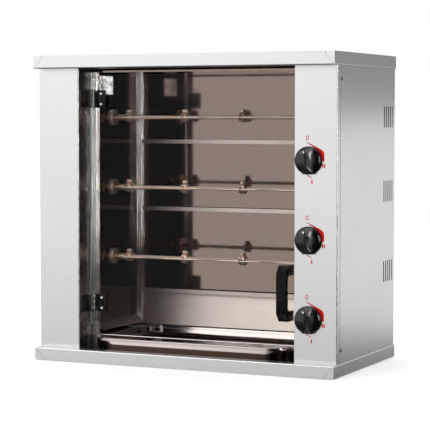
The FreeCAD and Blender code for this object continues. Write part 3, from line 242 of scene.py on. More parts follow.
def clear_glass(name, tint, shine=0.08, film=0.03):
    """Tempered float glass: clear, mirroring a little more where it is seen aslant, its tint uneven
    by a faint film of grease."""
    material, tree = blank(name)
    place = add(tree, "TexCoord").outputs["Object"]
    grease = add(tree, "TexNoise", {"Scale": per(GREASE_SPOT), "Detail": 5, "Roughness": 0.65},
                 {"Vector": place})
    low, high = shades(tint, 1 - film)
    tone = add(tree, "Mix", {"data_type": "RGBA", 6: high, 7: low}, {0: grease})
    passing = add(tree, "BsdfTransparent", (), {"Color": tone.outputs[2]})
    mirror = add(tree, "BsdfPrincipled", {"Base Color": (1, 1, 1, 1), "Metallic": 1, "Roughness": 0.02})
    slant = add(tree, "Fresnel", {"IOR": GLASS_INDEX})
    share = add(tree, "Math", {"operation": "MULTIPLY", 1: shine}, {0: slant})
    mix = add(tree, "MixShader", (), {0: share, 1: passing, 2: mirror})
    add(tree, "OutputMaterial", (), {"Surface": mix})
    return material


def pressed_glass(name):
    """Thick pressed glass, milky, with painted bright and dark cells: painted highlights and painted shade of
    its pressed pattern.
    """
    material, tree = blank(name)
    place = add(tree, "TexCoord").outputs["Object"]
    cells = add(tree, "TexVoronoi", {"Scale": per(PRESSED_CELL), "Randomness": 0.7}, {"Vector": place})
    waves = add(tree, "TexNoise", {"Scale": per(PRESSED_WAVE), "Detail": 2}, {"Vector": place})
    # Painted highlights and painted shade: bright and dark cells mixed into the glass's colour.
    spread = add(tree, "MapRange", {"From Min": 0.1, "From Max": 0.75},
                 {"Value": cells.outputs["Distance"]})
    crossed = add(tree, "Math", {"operation": "MULTIPLY"}, {0: spread, 1: waves})
    painted_cell_light = add(tree, "Math", {"operation": "MULTIPLY", 1: 1.4, "use_clamp": True}, {0: crossed})
    tone = add(tree, "Mix", {"data_type": "RGBA", 6: (1, 1, 1, 1), 7: (0.06, 0.06, 0.06, 1)},
               {0: painted_cell_light})
    height = add(tree, "Bump", {"Strength": 0.5, "Distance": PRESSED_HEIGHT * MM},
                 {"Height": cells.outputs["Distance"]})
    # The painted cells go into the colour and into the painted glow.
    shader = add(tree, "BsdfPrincipled",
                 {"Transmission Weight": 0.15, "IOR": GLASS_INDEX, "Roughness": 0.1,
                  "Emission Strength": LAMP_PAINTED_GLOW},
                 {"Base Color": tone.outputs[2], "Emission Color": tone.outputs[2],
                  "Normal": height})
    add(tree, "OutputMaterial", (), {"Surface": shader})
    return material


# Each metal finish by the record's material slot: its name, its colour, how rough it is and what else differs
# from a plain standing grain.
STEELS = {
    # AISI 304 sheet with a satin grain: soft, stretched reflections.
    "casing_steel": ("brushed_stainless_sheet", "casing", 0.27,
                     {"uneven": 0.004, "dark": 0.995, "depth": 0.001, "smudge": 0.008}),
    "tray_steel": ("brushed_stainless_tray", "casing", 0.27,
                   {"direction": LYING, "uneven": 0.004, "dark": 0.995, "depth": 0.001, "smudge": 0.008}),
    # Bright annealed sheet, tinted by baked grease: nearly a mirror, dark where it faces the dark.
    "cavity_steel": ("bright_annealed_sheet", "cavity", 0.07,
                     {"across": 2, "uneven": 0.015, "dark": 0.93, "depth": 0, "smudge": 0.015,
                      "cloud": 120}),
    # Satin stainless sheet: the folded ledges stay lighter than the polished walls.
    "ledge_steel": ("satin_ledge_sheet", "ledge", 0.42,
                    {"direction": LYING, "across": 1.5, "uneven": 0.03, "dark": 0.93}),
    # Turned stainless steel, tinted by heat.
    "fitting_steel": ("satin_turned_steel", "fitting", 0.45, {"across": 0.8, "dark": 0.95}),
    # Stainless sheet, dark brown: painted shade where the floor round the drip pan lies in shadow.
    "liner_steel": ("heat_browned_sheet", "liner", 0.12,
                    {"direction": LYING, "across": 2, "uneven": 0.03, "dark": 0.8, "depth": 0}),
    # Rolled stainless strip.
    "post_steel": ("satin_rolled_post", "bright", 0.13,
                   {"across": 0.8, "uneven": 0.006, "dark": 0.99, "depth": 0, "smudge": 0.004}),
    # Cold drawn stainless bar.
    "bar_steel": ("bright_drawn_steel", "bright", 0.2, {"across": 0.8, "uneven": 0.04, "dark": 0.93}),
    # Deep drawn stainless sheet.
    "pan_steel": ("deep_drawn_steel", "pan", 0.12,
                  {"direction": LYING, "across": 3, "uneven": 0.03, "dark": 0.95}),
    # Zinc plated steel.
    "screw_steel": ("zinc_plated_steel", "screw", 0.2, {"across": 0.6, "uneven": 0.05, "dark": 0.9}),
    # Bare mild steel, and the same dulled by heat on the leaves of the cabinet.
    "knuckle_steel": ("satin_steel", "knuckle", 0.38, {"across": 0.8, "uneven": 0.05, "dark": 0.9}),
    "leaf_steel": ("heat_dulled_steel", "leaf", 0.35, {"across": 0.8, "uneven": 0.03, "dark": 0.9}),
    # Chrome plate, and anodised aluminium behind the bulb.
    "lamp_chrome": ("polished_chrome", "screw", 0.06, {"across": 2, "dark": 0.97}),
    "lamp_reflector": ("bright_aluminium", "screw", 0.25, {"across": 1, "uneven": 0.04}),
    # Incoloy heater tube, oxidised.
    "heater_alloy": ("oxidised_nickel_alloy", "heater", 0.45,
                     {"direction": LYING, "across": 1.5, "uneven": 0.08, "dark": 0.6}),
    # Oil-soaked sintered bronze.
    "bush_bronze": ("sintered_bronze", "bronze", 0.42, {"across": 0.6, "uneven": 0.05, "dark": 0.75}),
}

# Each plastic, paint and rubber by its slot: its name, its colour, how rough it is and what else differs.
PLASTICS = {
    # Hard ferrite.
    "magnet": ("ferrite", "magnet", 0.5, {}),
    # Alkyd enamel.
    "motor_paint": ("motor_enamel", "motor", 0.4, {"grit": 0.8, "depth": 0.04}),
    # Baked black enamel.
    "hinge_black": ("baked_enamel", "enamel", 0.3, {"grit": 0.6, "depth": 0.02, "specular": 0.2}),
    # Phenolic resin, glossy from its mould.
    "handle_plastic": ("gloss_phenolic", "handle", 0.14,
                       {"grit": 1, "depth": 0.004, "bright": 1.2, "specular": 0.1}),
    # Glass-filled polyamide.
    "knob_plastic": ("satin_polyamide", "knob", 0.2, {"depth": 0.004}),
    "gland_plastic": ("gland_polyamide", "knob", 0.45, {}),
    # Hot-stamped white foil and red screen printed ink.
    "pointer_paint": ("pointer_paint", "pointer", 0.4, {"grit": 0.4, "depth": 0.01, "bright": 1}),
    "print_red": ("screen_printed_ink", "ink", 0.5,
                  {"grit": 0.4, "depth": 0.004, "bright": 1, "specular": 0.2}),
    # Moulded polyester.
    "switch_plastic": ("moulded_polyester", "switch", 0.5, {}),
    # Nitrile rubber.
    "foot_rubber": ("moulded_rubber", "rubber", 0.7, {"grit": 0.8, "depth": 0.08}),
    # The ground edge of the tempered glass.
    "pane_edge": ("ground_glass_edge", "edge", 0.3, {"depth": 0.02, "bright": 1.05}),
}

# What the door's float glass and the bulb's soda-lime glass let through.
DOOR_TINT, BULB_TINT = (0.991, 0.993, 0.991), (1.0, 0.99, 0.97)


def build_finishes(colours):
    """Every finish of the oven, by the record's material slot."""
    made = {slot: brushed(name, getattr(colours, tint), roughness, **grain)
            for slot, (name, tint, roughness, grain) in STEELS.items()}
    made.update({slot: moulded(name, getattr(colours, tint), roughness, **texture)
                 for slot, (name, tint, roughness, texture) in PLASTICS.items()})
    made["door_glass"] = clear_glass("tempered_float_glass", DOOR_TINT)
    made["bulb_glass"] = clear_glass("bulb_glass", BULB_TINT)
    made["lamp_glass"] = pressed_glass("pressed_lamp_glass")
    return made


FINISHES = {}


def finish(name):
    """The named finish, made when the first piece asks for it."""
    if not FINISHES:
        FINISHES.update(build_finishes(bpy.context.scene.oven_colours))
    return FINISHES[name]


def dress(piece, *names):
    """Puts finishes in the piece's material slots, in order."""
    piece.data.materials.clear()
    for name in names:
        piece.data.materials.append(finish(name))


# ---------------------------------------------------------------- modelling helpers

def deselect():
    bpy.ops.object.select_all(action="DESELECT")


def activate(piece):
    """Makes the piece the only selected object."""
    deselect()
    piece.hide_viewport = False
    piece.select_set(True)
    bpy.context.view_layer.objects.active = piece
    return piece


def named(name):
    """Names the object that was just added."""
    piece = bpy.context.object
    piece.name = piece.data.name = name
    return piece


def place_in_mesh(piece):
    """Moves the object's place into its mesh."""
    activate(piece)
    bpy.ops.object.transform_apply(location=True, rotation=True, scale=True)
    return piece


def edit_all():
    """Enters edit mode with the whole active piece selected."""
    bpy.ops.object.mode_set(mode="EDIT")
    bpy.ops.mesh.select_all(action="SELECT")


def leave_edit():
    bpy.ops.object.mode_set(mode="OBJECT")


def close_outwards():
    """Turns every face outwards and leaves edit mode."""
    bpy.ops.mesh.select_all(action="SELECT")
    bpy.ops.mesh.normals_make_consistent(inside=False)
    leave_edit()


def pick(piece, test, kind="faces"):
    """In edit mode, selects only the faces or edges that pass the test."""
    bpy.ops.mesh.select_mode(type="FACE" if kind == "faces" else "EDGE")
    bpy.ops.mesh.select_all(action="DESELECT")
    mesh = bmesh.from_edit_mesh(piece.data)
    for element in getattr(mesh, kind):
        if test(element):
            element.select_set(True)
    mesh.select_flush_mode()
    bmesh.update_edit_mesh(piece.data)


def apply_modifier(piece, kind, **settings):
    """Adds a modifier with its settings and applies it."""
    activate(piece)
    modifier = piece.modifiers.new(kind.lower(), kind)
    for key, value in settings.items():
        setattr(modifier, key, value)
    bpy.ops.object.modifier_apply(modifier=modifier.name)
    return piece


def smooth(piece, degrees=35):
    """Smooth shading except across edges sharper than this."""
    activate(piece)
    bpy.ops.object.shade_smooth_by_angle(angle=math.radians(degrees))
    return piece


def round_over(piece, radius, segments=3, degrees=30):
    """Rounds the piece's sharp edges by a radius in metres."""
    apply_modifier(piece, "BEVEL", width=radius, segments=segments, limit_method="ANGLE",
                   angle_limit=math.radians(degrees))
    return smooth(piece)


def block(name, low, high):
    """A block between two corners, ready to be trimmed and rounded."""
    deselect()
    low, high = Vector(low), Vector(high)
    bpy.ops.mesh.primitive_cube_add(size=1, location=(low + high) / 2, scale=high - low)
    return place_in_mesh(named(name))


def trim(piece, point, outwards):
    """Cuts the piece along a plane, drops what lies outwards of it and closes the cut."""
    activate(piece)
    edit_all()
    bpy.ops.mesh.bisect(plane_co=point, plane_no=outwards, use_fill=True, clear_outer=True)
    leave_edit()
    return piece


def turn_to(axis):
    """The turn that takes the Z axis to this one."""
    return Vector(axis).to_track_quat("Z", "Y").to_euler()


def lathe(name, profile, centre=(0, 0, 0), axis=(0, 0, 1), facets=40, degrees=35):
    """A turned piece: a disc extruded from radius to radius along its axis. The profile holds
    millimetres, as radius and distance along the axis from the centre."""
    deselect()
    (radius, reached), *rest = profile
    bpy.ops.mesh.primitive_circle_add(vertices=facets, radius=radius * MM, fill_type="NGON",
                                      location=(0, 0, reached * MM))
    piece = named(name)
    edit_all()
    for wanted, along in rest:
        bpy.ops.mesh.extrude_region_move(TRANSFORM_OT_translate={"value": (0, 0, (along - reached) * MM)})
        ratio = wanted / radius
        bpy.ops.transform.resize(value=(ratio, ratio, 1), center_override=(0, 0, along * MM))
        radius, reached = wanted, along
    close_outwards()
    place_in_mesh(piece)
    piece.rotation_euler = turn_to(axis)
    piece.location = centre
    place_in_mesh(piece)
    return smooth(piece, degrees)


def carve(piece, *tools):
    """Takes the tools' shapes out of the piece."""
    for tool in tools:
        apply_modifier(piece, "BOOLEAN", object=tool, operation="DIFFERENCE", solver="EXACT")
        bpy.data.objects.remove(tool)
    return piece


def weld(piece, *others):
    """Joins others to the piece as one closed shape."""
    for other in others:
        apply_modifier(piece, "BOOLEAN", object=other, operation="UNION", solver="EXACT")
        bpy.data.objects.remove(other)
    return piece


def gather(name, pieces):
    """Makes separate shapes one piece."""
    activate(pieces[0])
    for piece in pieces[1:]:
        piece.select_set(True)
    bpy.ops.object.join()
    return named(name)


def copy_to(piece, name, offset, turn=None):
    """A copy with its own mesh, turned about the origin if asked and moved by an offset."""
    copy = bpy.data.objects.new(name, piece.data.copy())
    bpy.context.scene.collection.objects.link(copy)
    if turn is not None:
        copy.rotation_euler = turn
    copy.location = offset
    return place_in_mesh(copy)


def cad_copy(node, name):
    """A merged copy of a CAD node's mesh as a piece of its own, with its flat faces whole again."""
    source = frame["nodes"][node]
    piece = bpy.data.objects.new(name, source.data.copy())
    bpy.context.scene.collection.objects.link(piece)
    for key in list(piece.keys()):
        del piece[key]
    activate(piece)
    edit_all()
    bpy.ops.mesh.remove_doubles(threshold=1e-6)
    bpy.ops.mesh.dissolve_limited(angle_limit=math.radians(0.5))
    leave_edit()
    return piece


def middle(node):
    """The centre of a CAD node's box."""
    low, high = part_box(node)
    return (low + high) / 2


def fit(piece, body, slot, *nodes):
    """Says what the piece moves with and which CAD nodes it stands for. The slot is not used."""
    place_in_mesh(piece)
    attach(piece, body)
    if nodes:
        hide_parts(*nodes)
    return piece


# The turn that lays a piece made about the Z axis on to the front of the oven.
UPRIGHT = (math.radians(90), 0, 0)
ROWS = (1, 2, 3)


# ---------------------------------------------------------------- operators

# CAD nodes whose grain differs from their slot's.
TRAYS = ("roof_tray", "base_tray")
LEDGES = ("heater_shelves", "rear_deflector", "side_deflectors")


class OVEN_OT_frame_finishes(bpy.types.Operator):
    """Give every CAD node the finish of its material slot"""

    bl_idname = "oven.frame_finishes"
    bl_label = "Frame finishes"

    def execute(self, context):
        for part in frame["record"]["subparts"]:
            dress(frame["nodes"][part["node"]], part["material_slot"])
        for name in TRAYS:
            dress(frame["nodes"][name], "tray_steel")
        for name in LEDGES:
            dress(frame["nodes"][name], "ledge_steel")
        return {"FINISHED"}


class OVEN_OT_door_pane(bpy.types.Operator):
    """Make the door's glass with its ground edges"""

    bl_idname = "oven.door_pane"
    bl_label = "Door glass"

    def execute(self, context):
        pane = cad_copy("glass_door", "door_pane")
        dress(pane, "door_glass", "pane_edge")
        for face in pane.data.polygons:
            face.material_index = 0 if abs(face.normal.y) > 0.9 else 1
        fit(pane, "door", "door_glass", "glass_door")
        return {"FINISHED"}


class OVEN_OT_door_handle(bpy.types.Operator):
    """Make the bridge handle with rounded edges"""

    bl_idname = "oven.door_handle"
    bl_label = "Door handle"

    def execute(self, context):
        sizes = context.scene.oven_sizes
        handle = cad_copy("door_handle", "handle_bridge")
        round_over(handle, sizes.handle_round, 5)
        dress(handle, "handle_plastic")
        fit(handle, "door", "handle_plastic", "door_handle")
        return {"FINISHED"}


# Radius and distance in front of the panel: a rolled foot, then a shallow dome under the grip.
KNOB_SKIRT = ((33, 0), (33, 4.8), (32.6, 6), (31.6, 7.3), (30, 8.8), (27.5, 10.3), (23.5, 12), (18, 13.2),
              (10, 14), (1, 14.4))
# The grip is a wedge across the dome, in millimetres: two corners of the block it is cut from, then
# each cut as a point and the direction that it takes away.
GRIP_LOW, GRIP_HIGH = (-18, -32, 6), (15.5, 30.5, 23.4)
GRIP_CUTS = (((3, 0, 23.4), (-4.8, 0, 19)), ((-16, 0, 18.6), (-10.6, 0, 1.5)), ((3, 0, 23.4), (2.2, 0, 9)),
             ((12, 0, 21.2), (13.2, 0, 3.5)), ((0, -32, 9), (0, -12, 1.6)), ((0, 30.5, 9), (0, 12, 3.4)))
# The thumb's hollow between the two ridges: centre and half sizes.
HOLLOW_AT, HOLLOW_SIZE = (7.6, -3, 25.2), (4.3, 29, 6.4)
# The pointer on the wide facet: centre, radius, thickness, stretch and the facet's slope.
POINTER_AT, POINTER_RADIUS, POINTER_THICK = (-4.6, 19.5, 21.6), 3.6, 0.3
POINTER_STRETCH, POINTER_SLOPE = (0.85, 1.15, 1), math.atan2(4.8, 19)


class OVEN_OT_knobs(bpy.types.Operator):
    """Make one wedge knob with its pointer and copy it for each control"""

    bl_idname = "oven.knobs"
    bl_label = "Knobs"

    def execute(self, context):
        knob = lathe("knob_pattern", KNOB_SKIRT, facets=72)
        grip = block("grip", Vector(GRIP_LOW) * MM, Vector(GRIP_HIGH) * MM)
        for point, outwards in GRIP_CUTS:
            trim(grip, Vector(point) * MM, outwards)
        round_over(grip, context.scene.oven_sizes.grip_round, 3, 25)
        deselect()
        bpy.ops.mesh.primitive_uv_sphere_add(segments=40, ring_count=24, radius=1,
                                             location=Vector(HOLLOW_AT) * MM,
                                             scale=Vector(HOLLOW_SIZE) * MM)
        carve(grip, place_in_mesh(named("hollow")))
        weld(knob, grip)
        smooth(knob, 28)

        deselect()
        bpy.ops.mesh.primitive_cone_add(vertices=3, radius1=POINTER_RADIUS * MM, radius2=POINTER_RADIUS * MM,
                                        depth=POINTER_THICK * MM)
        pointer = place_in_mesh(named("pointer_pattern"))
        pointer.scale = POINTER_STRETCH
        place_in_mesh(pointer)
        pointer.rotation_euler = (0, -POINTER_SLOPE, 0)
        pointer.location = Vector(POINTER_AT) * MM
        place_in_mesh(pointer)
        for row in ROWS:
            node = f"knob_{row}"
            low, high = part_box(node)
            foot = Vector((middle(node).x, high.y, middle(node).z))
            cap = copy_to(knob, f"control_knob_{row}", foot, UPRIGHT)
            dress(cap, "knob_plastic")
            fit(cap, f"control_{row}", "knob_plastic", node)
            mark = copy_to(pointer, f"knob_pointer_{row}", foot, UPRIGHT)
            dress(mark, "pointer_paint")
            fit(mark, f"control_{row}", "knob_plastic")
        bpy.data.objects.remove(knob)
        bpy.data.objects.remove(pointer)
        return {"FINISHED"}


class OVEN_OT_drip_pan(bpy.types.Operator):
    """Draw the drip pan from one sheet, with a rolled rim and rounded foot"""

    bl_idname = "oven.drip_pan"
    bl_label = "Drip pan"

    def execute(self, context):
        sizes = context.scene.oven_sizes
        low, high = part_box("drip_pan")
        wide, deep = high.x - low.x, high.y - low.y
        deselect()
        bpy.ops.mesh.primitive_plane_add(size=1, location=(0, 0, high.z))
        pan = named("drawn_pan")
        pan.location = ((low.x + high.x) / 2, (low.y + high.y) / 2, high.z)
        pan.scale = (wide, deep, 1)
        place_in_mesh(pan)
        edit_all()
        bpy.ops.mesh.bevel(offset=sizes.pan_corner, segments=14, affect="VERTICES")
        pick(pan, lambda edge: edge.is_boundary, "edges")
        bpy.ops.mesh.extrude_region_move(TRANSFORM_OT_translate={"value": (0, 0, -sizes.pan_rim_drop)})
        pick(pan, lambda face: face.normal.z > 0.9 or face.normal.z < -0.9)
        bpy.ops.mesh.inset(thickness=sizes.pan_rim, depth=0)
        floor = low.z + sizes.pan_sheet
        bpy.ops.mesh.extrude_region_move(TRANSFORM_OT_translate={"value": (0, 0, floor - high.z)})
        narrowed = [1 - 2 * sizes.pan_draft / (side - 2 * sizes.pan_rim) for side in (wide, deep)]
        bpy.ops.transform.resize(value=(*narrowed, 1),
                                 center_override=((low.x + high.x) / 2, (low.y + high.y) / 2, floor))

        def at_height(edge, height):
            return all(abs(corner.co.z - height) < 1e-5 for corner in edge.verts)

        pick(pan, lambda edge: at_height(edge, floor), "edges")
        bpy.ops.mesh.bevel(offset=sizes.pan_foot, segments=7, affect="EDGES")
        pick(pan, lambda edge: at_height(edge, high.z), "edges")
        bpy.ops.mesh.bevel(offset=sizes.pan_bead, segments=4, affect="EDGES")
        close_outwards()
        floor_face = max(pan.data.polygons, key=lambda face: face.area)
        if floor_face.normal.z < 0:
            edit_all()
            bpy.ops.mesh.flip_normals()
            leave_edit()
        apply_modifier(pan, "SOLIDIFY", thickness=sizes.pan_sheet, offset=-1, use_even_offset=True)
        smooth(pan, 40)
        dress(pan, "pan_steel")
        fit(pan, "pan", "pan_steel", "drip_pan")
        return {"FINISHED"}


# Where the three beads lie across a post.
BEAD_SHARES = (0.17, 0.5, 0.83)
# The liner, in millimetres: its gap under the pan, how far it reaches beside and ahead of it, and the
# width and depth of its pressed edge.
LINER_GAP, LINER_BESIDE, LINER_AHEAD, LINER_LIP, LINER_STEP = 0.05, 18, 6, 4, 0.04


class OVEN_OT_posts(bpy.types.Operator):
    """Make the four rolled posts with their beads and the dark liner under the pan, which paints the shade
    there
    """

    bl_idname = "oven.posts"
    bl_label = "Posts and floor liner"

    def execute(self, context):
        sizes = context.scene.oven_sizes
        bead = sizes.post_bead
        for node in ("front_posts", "rear_posts"):
            shapes = []
            for low, high in islands(node):
                inner = 1 if low.x < 0 else -1
                core = block("core", low + Vector((bead if inner < 0 else 0, bead, 0)),
                             high - Vector((bead if inner > 0 else 0, 0, 0)))
                dress(core, "cavity_steel")
                shapes.append(round_over(core, sizes.bar_round, 2))
                wide, tall = high.x - low.x, (high.z - low.z) / MM
                for share in BEAD_SHARES:
                    for at in (Vector((low.x + wide * share, low.y + bead, low.z)),
                               Vector((high.x - bead if inner > 0 else low.x + bead,
                                       low.y + wide * share, low.z))):
                        bar = lathe("bead", ((bead / MM, 0), (bead / MM, tall)), at, facets=20)
                        dress(bar, "post_steel")
                        shapes.append(bar)
            posts = gather(f"beaded_{node}", shapes)
            smooth(posts, 40)
            fit(posts, "cabinet", "bar_steel", node)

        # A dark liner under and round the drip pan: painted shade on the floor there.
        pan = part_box("drip_pan")
        top, beside, ahead = pan[0].z - LINER_GAP * MM, LINER_BESIDE * MM, LINER_AHEAD * MM
        liner = block("floor_liner", (pan[0].x - beside, pan[0].y - ahead, top - sizes.liner_thick),
                      (pan[1].x + beside, pan[1].y, top))
        activate(liner)
        edit_all()
        pick(liner, lambda face: face.normal.z > 0.9)
        bpy.ops.mesh.inset(thickness=LINER_LIP * MM, depth=-LINER_STEP * MM)
        leave_edit()
        dress(liner, "liner_steel")
        fit(liner, "cabinet", "cavity_steel")
        return {"FINISHED"}


class OVEN_OT_hinges(bpy.types.Operator):
    """Make the hinge leaves, black on the door and bare on the cabinet, with their steel knuckles"""

    bl_idname = "oven.hinges"
    bl_label = "Hinges"

    def execute(self, context):
        sizes = context.scene.oven_sizes
        pin = middle("hinge_pins")
        for node, body in (("hinge_body_leaves", "cabinet"), ("hinge_door_leaves", "door")):
            leaves = cad_copy(node, f"rounded_{node}")
            round_over(leaves, sizes.leaf_round, 2, 40)
            dress(leaves, "hinge_black" if body == "door" else "leaf_steel", "knuckle_steel")
            for face in leaves.data.polygons:
                away = math.hypot(face.center.x - pin.x, face.center.y - pin.y)
                face.material_index = 1 if away < sizes.knuckle_radius else 0
            fit(leaves, body, "hinge_black", node)
        return {"FINISHED"}


# Head diameter and height, then shank diameter and depth, of the case and the hinge screws in millimetres.
CASE_SCREW, LEAF_SCREW = (9, 1.5, 4, 8), (8, 2.2, 5, 4)
# A screw further than this from the middle, in metres, sits in a side panel and not in the rear cover.
SIDE_AT = 0.38


def screw(name, head, height, shank, depth):
    """A domed screw about the Z axis with a cross recess, its seat at the origin. Sizes are in
    millimetres."""
    shell = [(0.6, height), (head * 0.18, height * 0.985), (head * 0.3, height * 0.9),
             (head * 0.4, height * 0.68), (head * 0.47, height * 0.36), (head * 0.5, 0.25),
             (head * 0.5, 0), (shank / 2, 0), (shank / 2, -depth)]
    made = lathe(name, shell, facets=28)
    long, thin, deep = head * 0.26 * MM, head * 0.055 * MM, height * 0.55 * MM
    top = (height + 1) * MM
    for x, y in ((long, thin), (thin, long)):
        carve(made, block("recess", (-x, -y, height * MM - deep), (x, y, top)))
    return smooth(made, 32)


def islands(node):
    """The lowest and the highest corner of each separate shape in a CAD node, in order of place."""
    mesh = bmesh.new()
    mesh.from_mesh(frame["nodes"][node].data)
    bmesh.ops.remove_doubles(mesh, verts=mesh.verts, dist=1e-6)
    left, found = set(mesh.verts), []
    while left:
        reached = {left.pop()}
        border = list(reached)
        while border:
            corner = border.pop()
            for edge in corner.link_edges:
                other = edge.other_vert(corner)
                if other in left:
                    left.discard(other)
                    reached.add(other)
                    border.append(other)
        places = [corner.co for corner in reached]
        low = Vector([min(place[i] for place in places) for i in range(3)])
        high = Vector([max(place[i] for place in places) for i in range(3)])
        found.append((low, high))
    mesh.free()
    return sorted(found, key=lambda pair: tuple(round(v, 5) for v in (*pair[0], *pair[1])))


class OVEN_OT_screws(bpy.types.Operator):
    """Make the domed screws of the case and of the hinges' cabinet leaves, each kind once, and copy them"""

    bl_idname = "oven.screws"
    bl_label = "Screws"

    def execute(self, context):
        made = []
        pattern, rise = screw("case_screw_pattern", *CASE_SCREW), CASE_SCREW[1] * MM
        for low, high in islands("case_screws"):
            spot = (low + high) / 2
            if abs(spot.x) > SIDE_AT:
                side = 1 if spot.x > 0 else -1
                seat = Vector((high.x - rise if side > 0 else low.x + rise, spot.y, spot.z))
                turn = turn_to((side, 0, 0))
            else:
                seat, turn = Vector((spot.x, high.y - rise, spot.z)), turn_to((0, 1, 0))
            made.append(copy_to(pattern, "case_screw", seat, turn))
        heads = gather("case_screw_heads", made)
        dress(heads, "knuckle_steel")
        fit(heads, "cabinet", "screw_steel", "case_screws")
        bpy.data.objects.remove(pattern)

        made = []
        pattern, rise = screw("leaf_screw_pattern", *LEAF_SCREW), LEAF_SCREW[1] * MM
        for low, high in islands("hinge_wall_screws"):
            seat = Vector((high.x - rise, (low.y + high.y) / 2, (low.z + high.z) / 2))
            made.append(copy_to(pattern, "leaf_screw", seat, turn_to((1, 0, 0))))
        heads = gather("wall_leaf_screws", made)
        dress(heads, "hinge_black")
        fit(heads, "cabinet", "screw_steel", "hinge_wall_screws")
        bpy.data.objects.remove(pattern)
        return {"FINISHED"}


# The fork's hub, the tapered prong and the thumb screw, as radius and distance along their axes in
# millimetres.
FORK_HUB = ((10.5, 0), (12, 1.2), (12, 14.8), (10.5, 16))
PRONG = ((2.5, 0), (2.5, 30), (2.3, 44), (1.9, 52), (1.3, 58), (0.5, 61))
THUMB_SCREW = ((3, 4), (3, 12), (5.6, 12.2), (7.2, 13), (7.5, 14), (7.5, 17), (7.1, 18.2), (6, 19))
# How far the prongs stand off the bar, the half sizes of the fork's plate and the radius of its corners.
PRONG_OFF, PLATE_HALF, PLATE_CORNER = 25, (1.5, 30, 6), 4.5


class OVEN_OT_spits(bpy.types.Operator):
    """Make the spit bars, forks, thumb screws and driven sockets of the three rows"""

    bl_idname = "oven.spits"
    bl_label = "Spits"

    def execute(self, context):
        sizes = context.scene.oven_sizes
        plate = block("plate", [-half * MM for half in PLATE_HALF], [half * MM for half in PLATE_HALF])
        activate(plate)
        edit_all()
        pick(plate, lambda edge: abs(edge.verts[0].co.x - edge.verts[1].co.x) > MM, "edges")
        bpy.ops.mesh.bevel(offset=PLATE_CORNER * MM, segments=6, affect="EDGES")
        leave_edit()
        round_over(plate, sizes.bar_round, 2, 50)
        for row in ROWS:
            body = f"spit_{row}"
            for node in (f"spit_bar_{row}", f"drive_socket_{row}"):
                piece = cad_copy(node, f"rounded_{node}")
                round_over(piece, sizes.bar_round, 2, 40)
                dress(piece, "fitting_steel")
                fit(piece, body, "bar_steel", node)
            centre = middle(f"fork_screws_{row}").copy()
            centre.z = middle(f"spit_forks_{row}").z
            forks, thumbs = [], []
            places = islands(f"fork_screws_{row}")
            half_hub = Vector((FORK_HUB[-1][1] / 2 * MM, 0, 0))
            for index, (low, high) in enumerate(places):
                hub_at = Vector(((low.x + high.x) / 2, centre.y, centre.z))
                forks.append(lathe("hub", FORK_HUB, hub_at - half_hub, (1, 0, 0), 32))
                forks.append(copy_to(plate, "fork_plate", hub_at))
                for way in (1, -1):
                    if (index, way) in ((0, -1), (len(places) - 1, 1)):
                        continue
                    for side in (1, -1):
                        root = hub_at + Vector((0, side * PRONG_OFF * MM, 0))
                        forks.append(lathe("prong", PRONG, root, (way, 0, 0), 14))
                thumbs.append(lathe("thumb", THUMB_SCREW, hub_at, (0, 0, 1), 20))
            piece = gather(f"forks_{row}", forks)
            dress(piece, "fitting_steel")
            fit(piece, body, "bar_steel", f"spit_forks_{row}")
            piece = gather(f"thumb_screws_{row}", thumbs)
            dress(piece, "fitting_steel")
            fit(piece, body, "screw_steel", f"fork_screws_{row}")
        bpy.data.objects.remove(plate)
        return {"FINISHED"}


class OVEN_OT_lamp(bpy.types.Operator):
    """Make the lamp's rounded frame and its rippled glass"""

    bl_idname = "oven.lamp"
    bl_label = "Lamp"

    def execute(self, context):
        sizes = context.scene.oven_sizes
        bezel = cad_copy("lamp_bezel", "lamp_frame")
        round_over(bezel, sizes.bezel_round, 3, 40)
        dress(bezel, "lamp_chrome")
        fit(bezel, "cabinet", "lamp_chrome", "lamp_bezel")

        low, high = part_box("lamp_glass")
        thick, wide, tall = high - low
        deselect()
        bpy.ops.mesh.primitive_grid_add(x_subdivisions=60, y_subdivisions=40, size=1)
        glass = named("rippled_glass")
        glass.scale = (wide, tall, 1)
        place_in_mesh(glass)
        edit_all()
        bpy.ops.mesh.extrude_region_move(TRANSFORM_OT_translate={"value": (0, 0, thick)})
        close_outwards()
        turns = math.tau / sizes.ripple
        for corner in glass.data.vertices:
            place = corner.co
            if place.z > thick / 2:
                wave = math.sin(place.x * turns) * math.sin(place.y * turns)
                place.z -= (1 - wave) * 0.5 * sizes.ripple_deep
        glass.rotation_euler = turn_to((1, 0, 0))
        glass.location = (low.x, (low.y + high.y) / 2, (low.z + high.z) / 2)
        place_in_mesh(glass)
        smooth(glass, 60)
        dress(glass, "lamp_glass")
        fit(glass, "cabinet", "lamp_glass", "lamp_glass")
        return {"FINISHED"}


class OVEN_OT_small_fittings(bpy.types.Operator):
    """Round the feet, the bushes, the mains gland and the door's catch"""

    bl_idname = "oven.small_fittings"
    bl_label = "Feet, bushes and gland"

    def execute(self, context):
        sizes = context.scene.oven_sizes
        for node, slot, radius in (("feet", "foot_rubber", sizes.foot_round),
                                   ("spit_bushes", "bush_bronze", sizes.bar_round),
                                   ("cable_gland", "gland_plastic", sizes.bar_round),
                                   ("catch_plate", "screw_steel", sizes.plate_round),
                                   ("door_catch", "magnet", sizes.bar_round)):
            piece = cad_copy(node, f"rounded_{node}")
            round_over(piece, radius, 2, 40)
            dress(piece, slot)
            body = "door" if node == "catch_plate" else "cabinet"
            fit(piece, body, slot, node)
        return {"FINISHED"}


